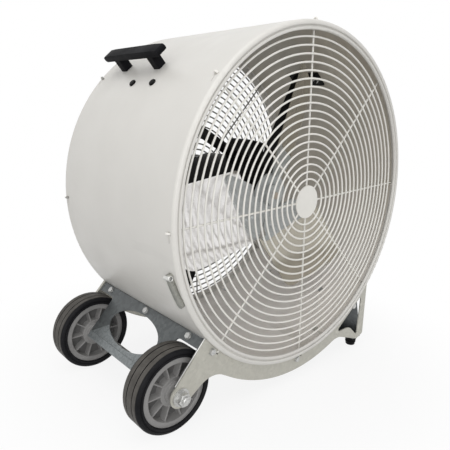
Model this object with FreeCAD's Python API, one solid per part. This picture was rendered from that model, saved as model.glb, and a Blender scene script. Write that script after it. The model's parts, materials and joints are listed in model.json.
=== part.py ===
"""Portable drum fan on a two-wheeled cradle, one STEP file for each separate piece.

Millimetres. +Z is up, the fan blows towards -Y, the wheels stand on the -X side and the feet on the +X side.
The origin is on the floor, under the middle of the overall box.
"""
import FreeCAD
import Part
import math
import os

# Drum
drum_radius = 366.0
drum_length = 420.0
drum_wall = 5.0
lip_width = 19.0
lip_bead = 10.0
lip_thickness = 7.0
lip_groove = 2.5
lip_groove_depth = 4.5
lip_round = 7.0
lip_bead_round = 2.5
lip_ridge_back = 1.5

# Wire guards
guard_recess = 13.0
guard_wire = 4.0
ring_pitch = 15.875
first_ring_radius = 50.0
rim_gap = 8.0
spoke_count = 8
spoke_turn = 3.5
hub_plate_radius = 36.0
hub_plate_thickness = 2.0
rear_plate_gap = 1.5
loop_spread = 7.0
loop_stand = 1.0
loop_room_gap = 1.5
slit_length = 18.0
slit_width = 1.4

# Retaining clips beside the front lip
clip_count = 2
clip_angle = 200.8
clip_length = 70.7
clip_width = 14.0
clip_height = 8.0
clip_sheet = 2.0
clip_slant = 8.8
clip_setback = 19.3
clip_roll_radius = 5.0

# Motor and its mount
motor_radius = 78.0
motor_setback = 187.0
motor_shell_length = 150.0
motor_shell_wall = 4.0
bell_length = 20.0
shaft_radius = 8.0
shaft_stickout = 84.0
bearing_radius = 17.5
bearing_width = 12.0
mount_first_angle = 51.2
mount_arm_count = 4
mount_setback = 224.0
mount_bolt_spacing = 72.0
mount_arm_width = 66.0
mount_sheet = 4.0
mount_foot_width = 44.0
mount_foot_edge = 13.0
mount_lean = 50.0
mount_foot_overhang = 12.0
mount_bolt_radius = 4.0
cover_top = 120.0
cover_angle = 80.0
cover_length = 82.0
cover_width = 54.0
cover_sheet = 2.0
cover_round = 9.0

# Propeller
blade_tip_radius = 304.8
blade_count = 3
blade_first_angle = 191.0
blade_pitch = 28.0
blade_sheet = 2.0
blade_curve_radius = 420.0
blade_root_radius = 64.0
blade_root_width = 142.0
blade_tip_width = 150.0
blade_corner = 35.0
spider_sheet = 4.0
spider_disc_radius = 50.0
spider_arm_reach = 110.0
spider_arm_width = 134.0
spider_arm_root = 68.0
hub_radius = 26.0
hub_length = 34.0
fan_setback = 124.0
rivet_radius = 3.0
rivet_head_radius = 6.0
rivet_head_height = 2.2

# Wheels
tyre_radius = 86.0
tyre_width = 54.0
tyre_shoulder = 9.0
tread_groove = 2.6
rim_radius = 70.0
rim_width = 48.0
rim_ring = 11.0
rim_disc = 8.0
wheel_hub_radius = 22.0
wheel_hub_length = 54.0
wheel_collar_radius = 30.0
wheel_collar_length = 40.0
wheel_bush_wall = 3.0
wheel_rib_count = 10
wheel_rib_thickness = 3.0
wheel_gap = 12.0
tyre_to_drum = 24.0
axle_angle = 225.6
axle_radius = 8.0
axle_washer_radius = 18.0
axle_washer_thickness = 3.0
axle_nut_flats = 24.0
axle_nut_height = 13.0
axle_tip = 4.0
spacer_wall = 3.0

# Cradle of folded sheet
panel_setback = 10.0
panel_sheet = 3.0
panel_flange = 4.0
ear_radius = 23.0
belly_depth = 36.0
arch_gap = 0.5
left_arch_angle = 236.0
left_arch_radius = 53.0
right_arch_angle = 291.6
right_arch_radius = 58.0
foot_offset = 26.4291
foot_height = 26.0
foot_radius = 15.0
window_margin = 20.0
web_sheet = 3.0
web_angle = 222.0
strip_height = 22.0
web_clear = 3.0
web_hole_width = 178.0
web_hole_height = 82.0
web_bolt_spacing = 152.4
hem_width = 15.0
hem_sheet = 2.5
rail_sheet = 2.5
rail_leg = 20.0
rail_wrap = 6.0
foot_plate_angle = 312.0
saddle_sheet = 2.0
saddle_width = 50.0
saddle_flange = 16.0
saddle_end_gap = 2.1
panel_bolt_inset = 2.1
middle_bolt_angle = 271.1
base_bolt_radius = 3.5

# Lift handle
handle_angle = 133.8
handle_place = 273.0
handle_post_spacing = 124.0
handle_length = 204.0
handle_thickness = 14.0
handle_width = 24.0
handle_post_width = 22.0
handle_post_depth = 20.0
handle_rise = 42.0
handle_screw_radius = 3.0

# Switch behind the rear guard
switch_width = 130.0
switch_height = 130.0
switch_depth = 34.0
switch_sheet = 2.0
switch_boss = 8.0
switch_screw_radius = 1.55
knob_radius = 18.0
knob_depth = 13.0
knob_shaft_radius = 3.0
gland_radius = 11.0
gland_length = 22.0
conduit_radius = 6.5

# Fits
slide_gap = 0.3
seat_gap = 0.05
running_gap = 0.05
hole_gap = 0.4

# Places worked out from the sizes above
axle_distance = drum_radius + tyre_radius + tyre_to_drum
axle_from_axis_x = axle_distance * math.cos(math.radians(axle_angle))
axle_from_axis_z = axle_distance * math.sin(math.radians(axle_angle))
axis_height = tyre_radius - axle_from_axis_z
left_reach = tyre_radius - axle_from_axis_x
loop_tip = drum_radius + loop_stand + (loop_spread + guard_wire) / 2
right_reach = loop_tip * math.cos(math.radians(spoke_turn))
axis_x = (left_reach - right_reach) / 2
axis_z = axis_height
axle_x = axis_x + axle_from_axis_x
axle_z = tyre_radius
drum_front = -drum_length / 2
inner_radius = drum_radius - drum_wall
lip_inner_radius = drum_radius - lip_width
panel_out = drum_length / 2 - panel_setback
panel_in = panel_out - panel_sheet
wheel_middle = panel_in - wheel_gap - tyre_width / 2
foot_x = axis_x + (drum_radius + 1) * math.cos(math.radians(foot_plate_angle)) + foot_offset
flange_top = foot_height + panel_sheet
fan_plane = drum_front + fan_setback
mount_middle = drum_front + mount_setback
motor_front = drum_front + motor_setback
motor_back = motor_front + motor_shell_length
ring_plane = drum_front + guard_recess
spoke_plane = ring_plane + guard_wire + seat_gap
rear_plate_radius = first_ring_radius - guard_wire / 2 - rear_plate_gap
saddle_first = web_angle + saddle_end_gap
saddle_last = foot_plate_angle - saddle_end_gap
ring_count = int((lip_inner_radius - rim_gap - first_ring_radius) / ring_pitch) + 1

along_y = FreeCAD.Vector(0, 1, 0)
axis_point = FreeCAD.Vector(axis_x, 0, axis_z)


def save(name, shapes):
    """Write one node; a list of solids goes into the same file as separate solids."""
    shape = shapes if isinstance(shapes, Part.Shape) else Part.makeCompound(shapes)
    shape.exportStep("parts/" + name + ".step")


def turned(shape, angle):
    """Swing a shape built along +X from the drum's axis round to an angle, counted from +X towards +Z."""
    copy = shape.copy()
    copy.rotate(axis_point, along_y, -angle)
    return copy


def mirrored(shape):
    """The same shape at the other end of the drum."""
    return shape.mirror(FreeCAD.Vector(0, 0, 0), along_y)


def polar(radius, angle):
    """A point (x, z) at an angle round the drum's axis."""
    turn = math.radians(angle)
    return axis_x + radius * math.cos(turn), axis_z + radius * math.sin(turn)


def rod(x, z, radius, y_start, y_end):
    """A round bar along Y."""
    return Part.makeCylinder(radius, y_end - y_start, FreeCAD.Vector(x, y_start, z), along_y)


def tube(x, z, outer, inner, y_start, y_end):
    """A round tube along Y."""
    return rod(x, z, outer, y_start, y_end).cut(rod(x, z, inner, y_start - 1, y_end + 1))


def spur(radius, r_start, r_end, y, lift=0.0):
    """A round bar pointing outwards along +X from the drum's axis, at a height lift across it."""
    start = FreeCAD.Vector(axis_x + r_start, y, axis_z + lift)
    return Part.makeCylinder(radius, r_end - r_start, start, FreeCAD.Vector(1, 0, 0))


def block(x_start, x_end, y_start, y_end, z_start, z_end):
    """A box between two corners."""
    corner = FreeCAD.Vector(x_start, y_start, z_start)
    return Part.makeBox(x_end - x_start, y_end - y_start, z_end - z_start, corner)


def hex_bar(flats, height, base, direction):
    """A hexagonal bar, for nuts and bolt heads."""
    corners = []
    for step in range(7):
        turn = math.radians(60 * step)
        corners.append(FreeCAD.Vector(math.cos(turn), math.sin(turn), 0) * (flats / math.sqrt(3)))
    face = Part.Face(Part.makePolygon(corners))
    prism = face.extrude(FreeCAD.Vector(0, 0, height))
    prism.Placement = FreeCAD.Placement(base, FreeCAD.Rotation(FreeCAD.Vector(0, 0, 1), direction))
    return prism


def belt_lines(circles):
    """The straight stretches of a belt round circles (a, b, radius), as pairs of end points.

    A positive radius lies left of the belt, a negative one right of it, and a zero radius is a sharp corner.
    """
    lines = []
    for index, (a0, b0, r0) in enumerate(circles):
        a1, b1, r1 = circles[(index + 1) % len(circles)]
        distance = math.hypot(a1 - a0, b1 - b0)
        da = (a1 - a0) / distance
        db = (b1 - b0) / distance
        lean = (r1 - r0) / distance
        reach = math.sqrt(1 - lean * lean)
        na = lean * da - reach * db
        nb = lean * db + reach * da
        lines.append(((a0 - r0 * na, b0 - r0 * nb), (a1 - r1 * na, b1 - r1 * nb)))
    return lines


def belt_wire(circles, place):
    """The closed wire of such a belt; place turns (a, b) into a point in space."""
    lines = belt_lines(circles)
    edges = []
    for index, (a, b, radius) in enumerate(circles):
        arrive = lines[index - 1][1]
        leave = lines[index][0]
        if radius != 0:
            start = math.atan2(arrive[1] - b, arrive[0] - a)
            sweep = math.atan2(leave[1] - b, leave[0] - a) - start
            whole = 2 * math.pi
            sweep = sweep % whole if radius > 0 else -(-sweep % whole)
            middle = start + sweep / 2
            size = abs(radius)
            waypoint = place(a + size * math.cos(middle), b + size * math.sin(middle))
            edges.append(Part.Arc(place(*arrive), waypoint, place(*leave)).toShape())
        edges.append(Part.LineSegment(place(*leave), place(*lines[index][1])).toShape())
    return Part.Wire(edges)


def upright(y):
    """Points of an outline that stands in the plane at y."""
    return lambda x, z: FreeCAD.Vector(x, y, z)


def plate_y(circles, y_start, y_end):
    """An upright plate with a belt outline, between two planes across Y."""
    face = Part.Face(belt_wire(circles, upright(y_start)))
    return face.extrude(FreeCAD.Vector(0, y_end - y_start, 0))


def lathe(circles, x, z):
    """A turned piece about an axis along Y; its outline is a belt in (radius, y)."""
    face = Part.Face(belt_wire(circles, lambda r, y: FreeCAD.Vector(x + r, y, z)))
    return face.revolve(FreeCAD.Vector(x, 0, z), along_y, 360)


def arc_shell(inner, outer, angle_start, angle_end, y_start, y_end):
    """A part of a tube round the drum's axis, between two angles."""
    ring = tube(axis_x, axis_z, outer, inner, y_start, y_end)
    far = 2 * outer
    halfway = (angle_start + angle_end) / 2
    wedge = [polar(0, 0), polar(far, angle_start), polar(far, halfway), polar(far, angle_end)]
    corners = [FreeCAD.Vector(x, y_start - 1, z) for x, z in wedge]
    face = Part.Face(Part.makePolygon(corners + corners[:1]))
    return ring.common(face.extrude(FreeCAD.Vector(0, y_end - y_start + 2, 0)))


def spoke_angles():
    """Angles of the guard's spokes."""
    return [spoke_turn + 360 / spoke_count * index for index in range(spoke_count)]


def mount_angles():
    """Angles of the motor mount's arms."""
    return [mount_first_angle + 360 / mount_arm_count * index for index in range(mount_arm_count)]


def mount_bolt_places():
    """Places along Y of the two bolts in each arm's foot."""
    return [mount_middle - mount_bolt_spacing / 2, mount_middle + mount_bolt_spacing / 2]


def handle_post_places():
    """Places along Y of the handle's two posts."""
    middle = drum_front + handle_place
    return [middle - handle_post_spacing / 2, middle + handle_post_spacing / 2]


def cradle_bolt_places():
    """Angle and Y of the bolts that hold the drum on the saddles and the rails."""
    band = panel_in - saddle_sheet - saddle_width / 2
    rail = panel_in / 2
    left = web_angle + rail_wrap * 0.6
    right = foot_plate_angle - rail_wrap * 0.6
    quarter = (saddle_last - saddle_first) / 4
    spots = (saddle_first + quarter, saddle_last - quarter)
    places = [(angle, end * band) for angle in spots for end in (-1, 1)]
    return places + [(angle, end * rail) for angle in (left, right) for end in (-1, 1)]


def make_drum():
    """Rolled drum with a round bead and an inner ridge at each end, and every hole that something passes through."""
    end = drum_length / 2
    back = end - lip_thickness
    groove = end - lip_groove_depth
    bead_inner = drum_radius - lip_bead
    ridge_outer = bead_inner - lip_groove
    ridge_round = lip_bead_round
    ridge_centre = end - lip_ridge_back - ridge_round
    half = [(drum_radius - lip_round, end - lip_round, lip_round)]
    half += [(bead_inner + lip_bead_round, end - lip_bead_round, lip_bead_round)]
    half += [(bead_inner, groove, 0), (ridge_outer, groove, 0)]
    half += [(ridge_outer - ridge_round, ridge_centre, ridge_round)]
    half += [(lip_inner_radius + ridge_round, ridge_centre, ridge_round), (lip_inner_radius + 1, back + 1, 1)]
    half += [(inner_radius, back, 0)]
    other = [(r, -y, size) for r, y, size in reversed(half)]
    drum = lathe(half + other, axis_x, axis_z)
    cuts = []
    for angle in spoke_angles():
        wide = guard_wire / 2 + hole_gap
        low = spoke_plane - loop_spread - wide
        high = spoke_plane + wide
        r_in = axis_x + inner_radius - 1
        r_out = axis_x + drum_radius + 1
        slot = block(r_in, r_out, low, high, axis_z - wide, axis_z + wide)
        slit_start = spoke_plane - (loop_spread + slit_width) / 2
        slit = block(r_in, r_out, slit_start, slit_start + slit_width, axis_z, axis_z + slit_length)
        cuts += [turned(slot, angle), turned(slit, angle)]
        cuts += [turned(mirrored(slot), angle), turned(mirrored(slit), angle)]
    r_start = inner_radius - 3
    r_end = drum_radius + 3
    for angle in mount_angles():
        for y in mount_bolt_places():
            cuts.append(turned(spur(mount_bolt_radius + hole_gap, r_start, r_end, y), angle))
    for y in handle_post_places():
        cuts.append(turned(spur(handle_screw_radius + hole_gap, r_start, r_end, y), handle_angle))
    for angle, y in cradle_bolt_places():
        cuts.append(turned(spur(base_bolt_radius + hole_gap, r_start, r_end, y), angle))
    return drum.cut(cuts)


def make_guard_rings():
    """Concentric rings of the front guard."""
    rings = []
    for index in range(ring_count):
        centre = FreeCAD.Vector(axis_x, ring_plane, axis_z)
        rings.append(Part.makeTorus(first_ring_radius + ring_pitch * index, guard_wire / 2, centre, along_y))
    return rings


def make_guard_spokes(inner_end):
    """Spokes of the front guard; each one ends in a loop that hooks out through the drum's wall."""
    wire = guard_wire / 2
    bend_radius = loop_spread / 2
    bend_at = drum_radius + loop_stand
    centre = FreeCAD.Vector(axis_x + bend_at, spoke_plane, axis_z)
    disc = Part.Face(Part.Wire(Part.makeCircle(wire, centre, FreeCAD.Vector(1, 0, 0))))
    hinge = centre - along_y * bend_radius
    bend = disc.revolve(hinge, FreeCAD.Vector(0, 0, -1), 180)
    leg = spur(wire, inner_end, bend_at, spoke_plane)
    back_leg = spur(wire, inner_radius - loop_spread, bend_at, spoke_plane - loop_spread)
    spoke = leg.fuse([bend, back_leg])
    return [turned(spoke, angle) for angle in spoke_angles()]


def make_hub_plate(radius, bore=0.0):
    """Round plate on the front of the spokes."""
    face = spoke_plane - guard_wire / 2 - seat_gap
    plate = rod(axis_x, axis_z, radius, face - hub_plate_thickness, face)
    if bore > 0:
        plate = plate.cut(rod(axis_x, axis_z, bore, face - 2 * hub_plate_thickness, face + 1))
    return plate


def make_clips():
    """Folded clips that lie on the drum beside the front lip, and the round rolled end of each."""
    middle = drum_front + clip_setback
    half = clip_length / 2 - clip_width / 2
    reach = clip_height + drum_wall
    start = axis_x + drum_radius - drum_wall
    centre = FreeCAD.Vector(start, middle, axis_z)

    def prism(width, radius):
        outline = [(-half, 0, width), (half, 0, width)]
        face = Part.Face(belt_wire(outline, lambda a, b: FreeCAD.Vector(start, middle + b, axis_z + a)))
        solid = face.extrude(FreeCAD.Vector(reach, 0, 0))
        solid.rotate(centre, FreeCAD.Vector(1, 0, 0), clip_slant)
        y_start = drum_front - clip_length
        shell = tube(axis_x, axis_z, radius, drum_radius + slide_gap / 3, y_start, y_start + 3 * clip_length)
        return solid.common(shell)

    outer = prism(clip_width / 2, drum_radius + clip_height)
    inner = prism(clip_width / 2 - clip_sheet, drum_radius + clip_height - clip_sheet)
    roll_at = FreeCAD.Vector(axis_x + drum_radius + clip_roll_radius + slide_gap, middle, axis_z - half)
    roll_axis = FreeCAD.Vector(0, 1, 0)
    roll_length = clip_width + 2 * clip_sheet
    roll = Part.makeCylinder(clip_roll_radius, roll_length, roll_at - roll_axis * (roll_length / 2), roll_axis)
    roll.rotate(centre, FreeCAD.Vector(1, 0, 0), clip_slant)
    pocket = Part.makeCylinder(clip_roll_radius + seat_gap, roll_length + 2,
                               roll_at - roll_axis * (roll_length / 2 + 1), roll_axis)
    pocket.rotate(centre, FreeCAD.Vector(1, 0, 0), clip_slant)
    clip = outer.cut([inner, pocket])
    angles = [clip_angle + 360 / clip_count * index for index in range(clip_count)]
    return [turned(clip, angle) for angle in angles], [turned(roll, angle) for angle in angles]


def make_motor():
    """Shell, two end bells, two bearings and the shaft."""
    shell_inner = motor_radius - motor_shell_wall
    shell = tube(axis_x, axis_z, motor_radius, shell_inner, motor_front, motor_back)
    spigot = motor_shell_wall

    def bell(face, outwards):
        y_out = face + outwards * bell_length
        y_in = face - outwards * spigot
        body = rod(axis_x, axis_z, motor_radius, min(face, y_out), max(face, y_out))
        flat = [edge for edge in body.Edges if edge.BoundBox.YLength < 0.01]
        rim = [edge for edge in flat if abs(edge.BoundBox.YMin - y_out) < 0.01]
        body = body.makeFillet(bell_length * 0.6, rim)
        plug = rod(axis_x, axis_z, shell_inner - seat_gap, min(face, y_in), max(face, y_in))
        seat_far = y_in + outwards * bearing_width
        seat = rod(axis_x, axis_z, bearing_radius + seat_gap, min(y_in, seat_far), max(y_in, seat_far))
        bore = rod(axis_x, axis_z, shaft_radius + slide_gap, face - 2 * bell_length, face + 2 * bell_length)
        return body.fuse(plug).cut([seat, bore])

    def bearing(face, outwards):
        y_in = face - outwards * spigot
        y_out = y_in + outwards * (bearing_width - seat_gap)
        outer = bearing_radius
        return tube(axis_x, axis_z, outer, shaft_radius + running_gap, min(y_in, y_out), max(y_in, y_out))

    front_bell = bell(motor_front, -1)
    back_bell = bell(motor_back, 1)
    bearings = [bearing(motor_front, -1), bearing(motor_back, 1)]
    shaft_front = motor_front - shaft_stickout
    shaft = rod(axis_x, axis_z, shaft_radius, shaft_front, motor_back + bell_length - slide_gap)
    return shell, front_bell, back_bell, bearings, shaft


def make_motor_mount():
    """Band round the motor, four arms with feet on the drum's wall, and their bolts and nuts."""
    band_inner = motor_radius + seat_gap
    band_outer = band_inner + mount_sheet
    y_start = mount_middle - mount_arm_width / 2
    y_end = mount_middle + mount_arm_width / 2
    band = tube(axis_x, axis_z, band_outer, band_inner, y_start, y_end)
    foot_outer = inner_radius - seat_gap
    foot_inner = foot_outer - mount_sheet
    swing = math.degrees(mount_foot_width / 2 / inner_radius)
    foot_half = mount_bolt_spacing / 2 + mount_foot_overhang
    foot = arc_shell(foot_inner, foot_outer, -swing, swing, mount_middle - foot_half, mount_middle + foot_half)
    half = mount_sheet / 2
    outer_end = FreeCAD.Vector(axis_x + foot_outer, y_start, axis_z + mount_foot_edge)
    touch = math.sqrt(band_outer * band_outer - mount_lean * mount_lean)
    inner_end = FreeCAD.Vector(axis_x + touch, y_start, axis_z - mount_lean)
    along = (outer_end - inner_end).normalize()
    inner_end = inner_end - along * (4 * mount_sheet)
    across = along_y.cross(along) * half
    corners = [outer_end + across, inner_end + across, inner_end - across, outer_end - across]
    web = Part.Face(Part.makePolygon(corners + corners[:1])).extrude(along_y * mount_arm_width)
    web = web.common(rod(axis_x, axis_z, foot_inner + half, y_start - 1, y_end + 1))
    web = web.cut(rod(axis_x, axis_z, band_outer + seat_gap, y_start - 1, y_end + 1))
    holes = [spur(mount_bolt_radius + hole_gap, foot_inner - 1, drum_radius, y) for y in mount_bolt_places()]
    arm = foot.fuse(web).cut(holes)
    arms = [turned(arm, angle) for angle in mount_angles()]
    bolts = []
    nuts = []
    nut_height = 1.6 * mount_bolt_radius
    for angle in mount_angles():
        for y in mount_bolt_places():
            head_radius = 1.9 * mount_bolt_radius
            head = spur(head_radius, drum_radius + seat_gap, drum_radius + mount_bolt_radius, y)
            rim = [e for e in head.Edges if e.BoundBox.XMin > axis_x + drum_radius + mount_bolt_radius - 0.1]
            head = head.makeFillet(0.7 * mount_bolt_radius, rim)
            shank_start = foot_inner - nut_height - 2
            shank = spur(mount_bolt_radius, shank_start, drum_radius + 0.5 * mount_bolt_radius, y)
            bolts.append(turned(head.fuse(shank), angle))
            base = FreeCAD.Vector(axis_x + foot_inner - nut_height - slide_gap / 2, y, axis_z)
            nut = hex_bar(3.2 * mount_bolt_radius, nut_height, base, FreeCAD.Vector(1, 0, 0))
            nut = nut.cut(spur(mount_bolt_radius + seat_gap, foot_inner - 3 * nut_height, drum_radius, y))
            nuts.append(turned(nut, angle))
    return band, arms, bolts, nuts


def make_capacitor_cover():
    """Hollow flat-topped cover on the motor, between the two upper arms of the mount."""
    band_outer = motor_radius + seat_gap + mount_sheet
    band_start = mount_middle - mount_arm_width / 2 - seat_gap
    band_end = mount_middle + mount_arm_width / 2 + seat_gap
    start = band_start - cover_sheet
    end = start + cover_length
    side = cover_width / 2
    top = axis_x + cover_top
    outer = block(axis_x, top, start, end, axis_z - side, axis_z + side)
    edges = [e for e in outer.Edges if e.BoundBox.XMax > top - 1]
    outer = outer.makeFillet(cover_round, edges)
    inner = block(axis_x - 1, top - cover_sheet, start + cover_sheet, end - cover_sheet,
                  axis_z - side + cover_sheet, axis_z + side - cover_sheet)
    edges = [e for e in inner.Edges if e.BoundBox.XMax > top - cover_sheet - 1]
    inner = inner.makeFillet(cover_round - cover_sheet, edges)
    motor_room = rod(axis_x, axis_z, motor_radius + seat_gap, start - 1, end + 1)
    band_room = rod(axis_x, axis_z, band_outer + seat_gap, band_start, band_end)
    cover = outer.cut([inner, motor_room, band_room])
    return turned(cover, cover_angle)


def curved_sheet(outer, inner, width, r_start, r_end):
    """A pitched and dished sheet that points along +X from the drum's axis."""
    half = width / 2

    def point(radius, side):
        drop = blade_curve_radius - math.sqrt(radius * radius - side * side)
        return FreeCAD.Vector(axis_x + r_start, fan_plane - drop, axis_z + side)

    edges = [Part.Arc(point(outer, -half), point(outer, 0), point(outer, half)).toShape()]
    edges.append(Part.LineSegment(point(outer, half), point(inner, half)).toShape())
    edges.append(Part.Arc(point(inner, half), point(inner, 0), point(inner, -half)).toShape())
    edges.append(Part.LineSegment(point(inner, -half), point(outer, -half)).toShape())
    sheet = Part.Face(Part.Wire(edges)).extrude(FreeCAD.Vector(r_end - r_start, 0, 0))
    sheet.rotate(FreeCAD.Vector(axis_x, fan_plane, axis_z), FreeCAD.Vector(1, 0, 0), blade_pitch)
    return sheet


def rivet_lines():
    """Place and direction of the rivets through one blade's root: four, on two rows."""
    rows = [spider_arm_reach - 5.2 * rivet_head_radius, spider_arm_reach - 2 * rivet_head_radius]
    sides = [-spider_arm_root / 2, spider_arm_root / 2]
    lines = []
    turn = FreeCAD.Rotation(FreeCAD.Vector(1, 0, 0), blade_pitch)
    pivot = FreeCAD.Vector(axis_x, fan_plane, axis_z)
    for radius in rows:
        for side in sides:
            tilt = side / blade_curve_radius
            drop = blade_curve_radius * (1 - math.cos(tilt))
            local = FreeCAD.Vector(radius, -drop, side)
            backwards = FreeCAD.Vector(0, math.cos(tilt), math.sin(tilt))
            lines.append((pivot + turn.multVec(local), turn.multVec(backwards)))
    return lines


def make_propeller():
    """Hub with its set screw, pressed spider, three dished blades and their rivets."""
    outer = blade_curve_radius + blade_sheet
    spider_outer = blade_curve_radius - seat_gap
    spider_inner = spider_outer - spider_sheet
    tip_corner = blade_tip_radius - blade_corner
    outline = [(axis_x + blade_root_radius + 12, axis_z - blade_root_width / 2 + 12, 12)]
    outline += [(axis_x + tip_corner, axis_z - blade_tip_width / 2 + blade_corner, blade_corner)]
    outline += [(axis_x + tip_corner, axis_z + blade_tip_width / 2 - blade_corner, blade_corner)]
    outline += [(axis_x + blade_root_radius + 12, axis_z + blade_root_width / 2 - 12, 12)]
    deep = blade_tip_width
    trim = plate_y(outline, fan_plane - deep, fan_plane + deep)
    trim = trim.common(rod(axis_x, axis_z, blade_tip_radius, fan_plane - 2 * deep, fan_plane + 2 * deep))
    spare_width = 1.3 * blade_tip_width
    blade = curved_sheet(outer, blade_curve_radius, spare_width, blade_root_radius - 5, blade_tip_radius)
    blade = blade.common(trim)
    arm_start = spider_disc_radius - 6
    arm = curved_sheet(spider_outer, spider_inner, 1.3 * spider_arm_width, arm_start, spider_arm_reach)
    corner = 2 * rivet_head_radius
    outline = [(axis_x + arm_start, axis_z - spider_arm_root / 2, 0)]
    outline += [(axis_x + spider_arm_reach - corner, axis_z - spider_arm_width / 2 + corner, corner)]
    outline += [(axis_x + spider_arm_reach - corner, axis_z + spider_arm_width / 2 - corner, corner)]
    outline += [(axis_x + arm_start, axis_z + spider_arm_root / 2, 0)]
    arm = arm.common(plate_y(outline, fan_plane - deep, fan_plane + deep))
    grip = blade_sheet + spider_sheet + seat_gap
    shanks = []
    rivets = []
    for place, backwards in rivet_lines():
        start = place - backwards * (spider_sheet + 2 * seat_gap)
        drill_start = place - backwards * 1.5 * grip
        shanks.append(Part.makeCylinder(rivet_radius + seat_gap, 3 * grip, drill_start, backwards))
        body = Part.makeCylinder(rivet_radius, grip + 2 * seat_gap, start, backwards)
        far = start + backwards * (grip + 2 * seat_gap)
        back_head = Part.makeCone(rivet_head_radius, rivet_radius, rivet_head_height, far, backwards)
        front_head = Part.makeCone(rivet_head_radius, rivet_radius, rivet_head_height, start, backwards * -1)
        rivets.append(body.fuse([front_head, back_head]))
    blade = blade.cut(shanks)
    arm = arm.cut(shanks)
    angles = [blade_first_angle + 360 / blade_count * index for index in range(blade_count)]
    blades = [turned(blade, angle) for angle in angles]
    disc_front = fan_plane - spider_sheet / 2
    disc = rod(axis_x, axis_z, spider_disc_radius, disc_front, disc_front + spider_sheet)
    spider = disc.fuse([turned(arm, angle) for angle in angles])
    hub_start = fan_plane - hub_length / 2
    hub_end = fan_plane + hub_length / 2
    hub_room = rod(axis_x, axis_z, hub_radius + seat_gap, hub_start - deep, hub_end + deep)
    spider = spider.cut(hub_room)
    bore = shaft_radius + running_gap
    hub = tube(axis_x, axis_z, hub_radius, bore, hub_start, hub_end)
    collar_start = disc_front + spider_sheet + seat_gap
    collar_end = collar_start + spider_sheet
    collar = tube(axis_x, axis_z, hub_radius + 2 * spider_sheet, bore, collar_start, collar_end)
    hub = hub.fuse(collar)
    screw_radius = rivet_radius
    screw_at = hub_start + screw_radius + 2
    hub = hub.cut(spur(screw_radius + seat_gap, 0, 2 * hub_radius, screw_at))
    screw = spur(screw_radius, bore, hub_radius + 2, screw_at)
    all_rivets = [turned(rivet, angle) for angle in angles for rivet in rivets]
    return hub, spider, blades, all_rivets, screw


def make_wheel(side):
    """Tyre, rim and bush of the wheel at one end of the axle; side is -1 at the front."""
    middle = side * wheel_middle
    half = tyre_width / 2
    shoulder = tyre_shoulder
    seat = rim_radius + seat_gap
    outline = [(seat, middle - half + 2, 0), (seat + 2, middle - half, 0)]
    outline += [(tyre_radius - shoulder, middle - half + shoulder, shoulder)]
    outline += [(tyre_radius - shoulder, middle + half - shoulder, shoulder)]
    outline += [(seat + 2, middle + half, 0), (seat, middle + half - 2, 0)]
    tyre = lathe(outline, axle_x, axle_z)
    grooves = []
    for row in (-1, 1):
        at = middle + row * tyre_width / 6
        start = at - tread_groove / 2
        floor = tyre_radius - tread_groove
        grooves.append(tube(axle_x, axle_z, tyre_radius + 1, floor, start, start + tread_groove))
    tyre = tyre.cut(grooves)
    bore = axle_radius + running_gap + wheel_bush_wall
    rim_half = rim_width / 2
    ring_inner = rim_radius - rim_ring
    ring = tube(axle_x, axle_z, rim_radius, ring_inner, middle - rim_half, middle + rim_half)
    disc = rod(axle_x, axle_z, rim_radius - 1, middle - rim_disc / 2, middle + rim_disc / 2)
    hub = rod(axle_x, axle_z, wheel_hub_radius, middle - wheel_hub_length / 2, middle + wheel_hub_length / 2)
    collar_half = wheel_collar_length / 2
    collar = rod(axle_x, axle_z, wheel_collar_radius, middle - collar_half, middle + collar_half)
    ribs = []
    rib_half = rim_half - rim_disc / 2
    rib_start = axle_x + wheel_hub_radius - 2
    for index in range(wheel_rib_count):
        rib = block(rib_start, axle_x + ring_inner + 2, middle - rib_half, middle + rib_half,
                    axle_z - wheel_rib_thickness / 2, axle_z + wheel_rib_thickness / 2)
        rib.rotate(FreeCAD.Vector(axle_x, middle, axle_z), along_y, 360 / wheel_rib_count * index)
        ribs.append(rib)
    rim = disc.fuse([ring, hub, collar] + ribs)
    rim = rim.cut(rod(axle_x, axle_z, bore + seat_gap, middle - wheel_hub_length, middle + wheel_hub_length))
    bush_half = wheel_hub_length / 2
    bush = tube(axle_x, axle_z, bore, axle_radius + running_gap, middle - bush_half, middle + bush_half)
    return tyre, rim, bush


def make_axle():
    """Axle rod, three spacer tubes, and the washer and nut at each end."""
    end = panel_out + axle_washer_thickness + axle_nut_height + axle_tip
    axle = rod(axle_x, axle_z, axle_radius, -end, end)
    tips = [edge for edge in axle.Edges if edge.BoundBox.YLength < 0.01]
    axle = axle.makeChamfer(axle_tip / 3, tips)
    bore = axle_radius + running_gap
    outer = bore + spacer_wall
    hub_in = wheel_middle - wheel_hub_length / 2 - slide_gap
    hub_out = wheel_middle + wheel_hub_length / 2 + slide_gap
    spacers = [tube(axle_x, axle_z, outer, bore, -hub_in, hub_in)]
    spacers.append(tube(axle_x, axle_z, outer, bore, hub_out, panel_in - seat_gap))
    spacers.append(mirrored(spacers[-1]))
    washer_start = panel_out + seat_gap
    washer_end = washer_start + axle_washer_thickness
    washer = tube(axle_x, axle_z, axle_washer_radius, bore, washer_start, washer_end)
    base = FreeCAD.Vector(axle_x, washer_end + seat_gap, axle_z)
    nut = hex_bar(axle_nut_flats, axle_nut_height, base, along_y)
    corner = axle_nut_flats / math.sqrt(3)
    dome = Part.makeCone(corner + axle_nut_height, corner * 0.8, axle_nut_height * 1.02, base, along_y)
    nut = nut.common(dome).cut(rod(axle_x, axle_z, bore, washer_end, end + 1))
    return axle, spacers, [mirrored(washer), washer], [mirrored(nut), nut]


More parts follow.
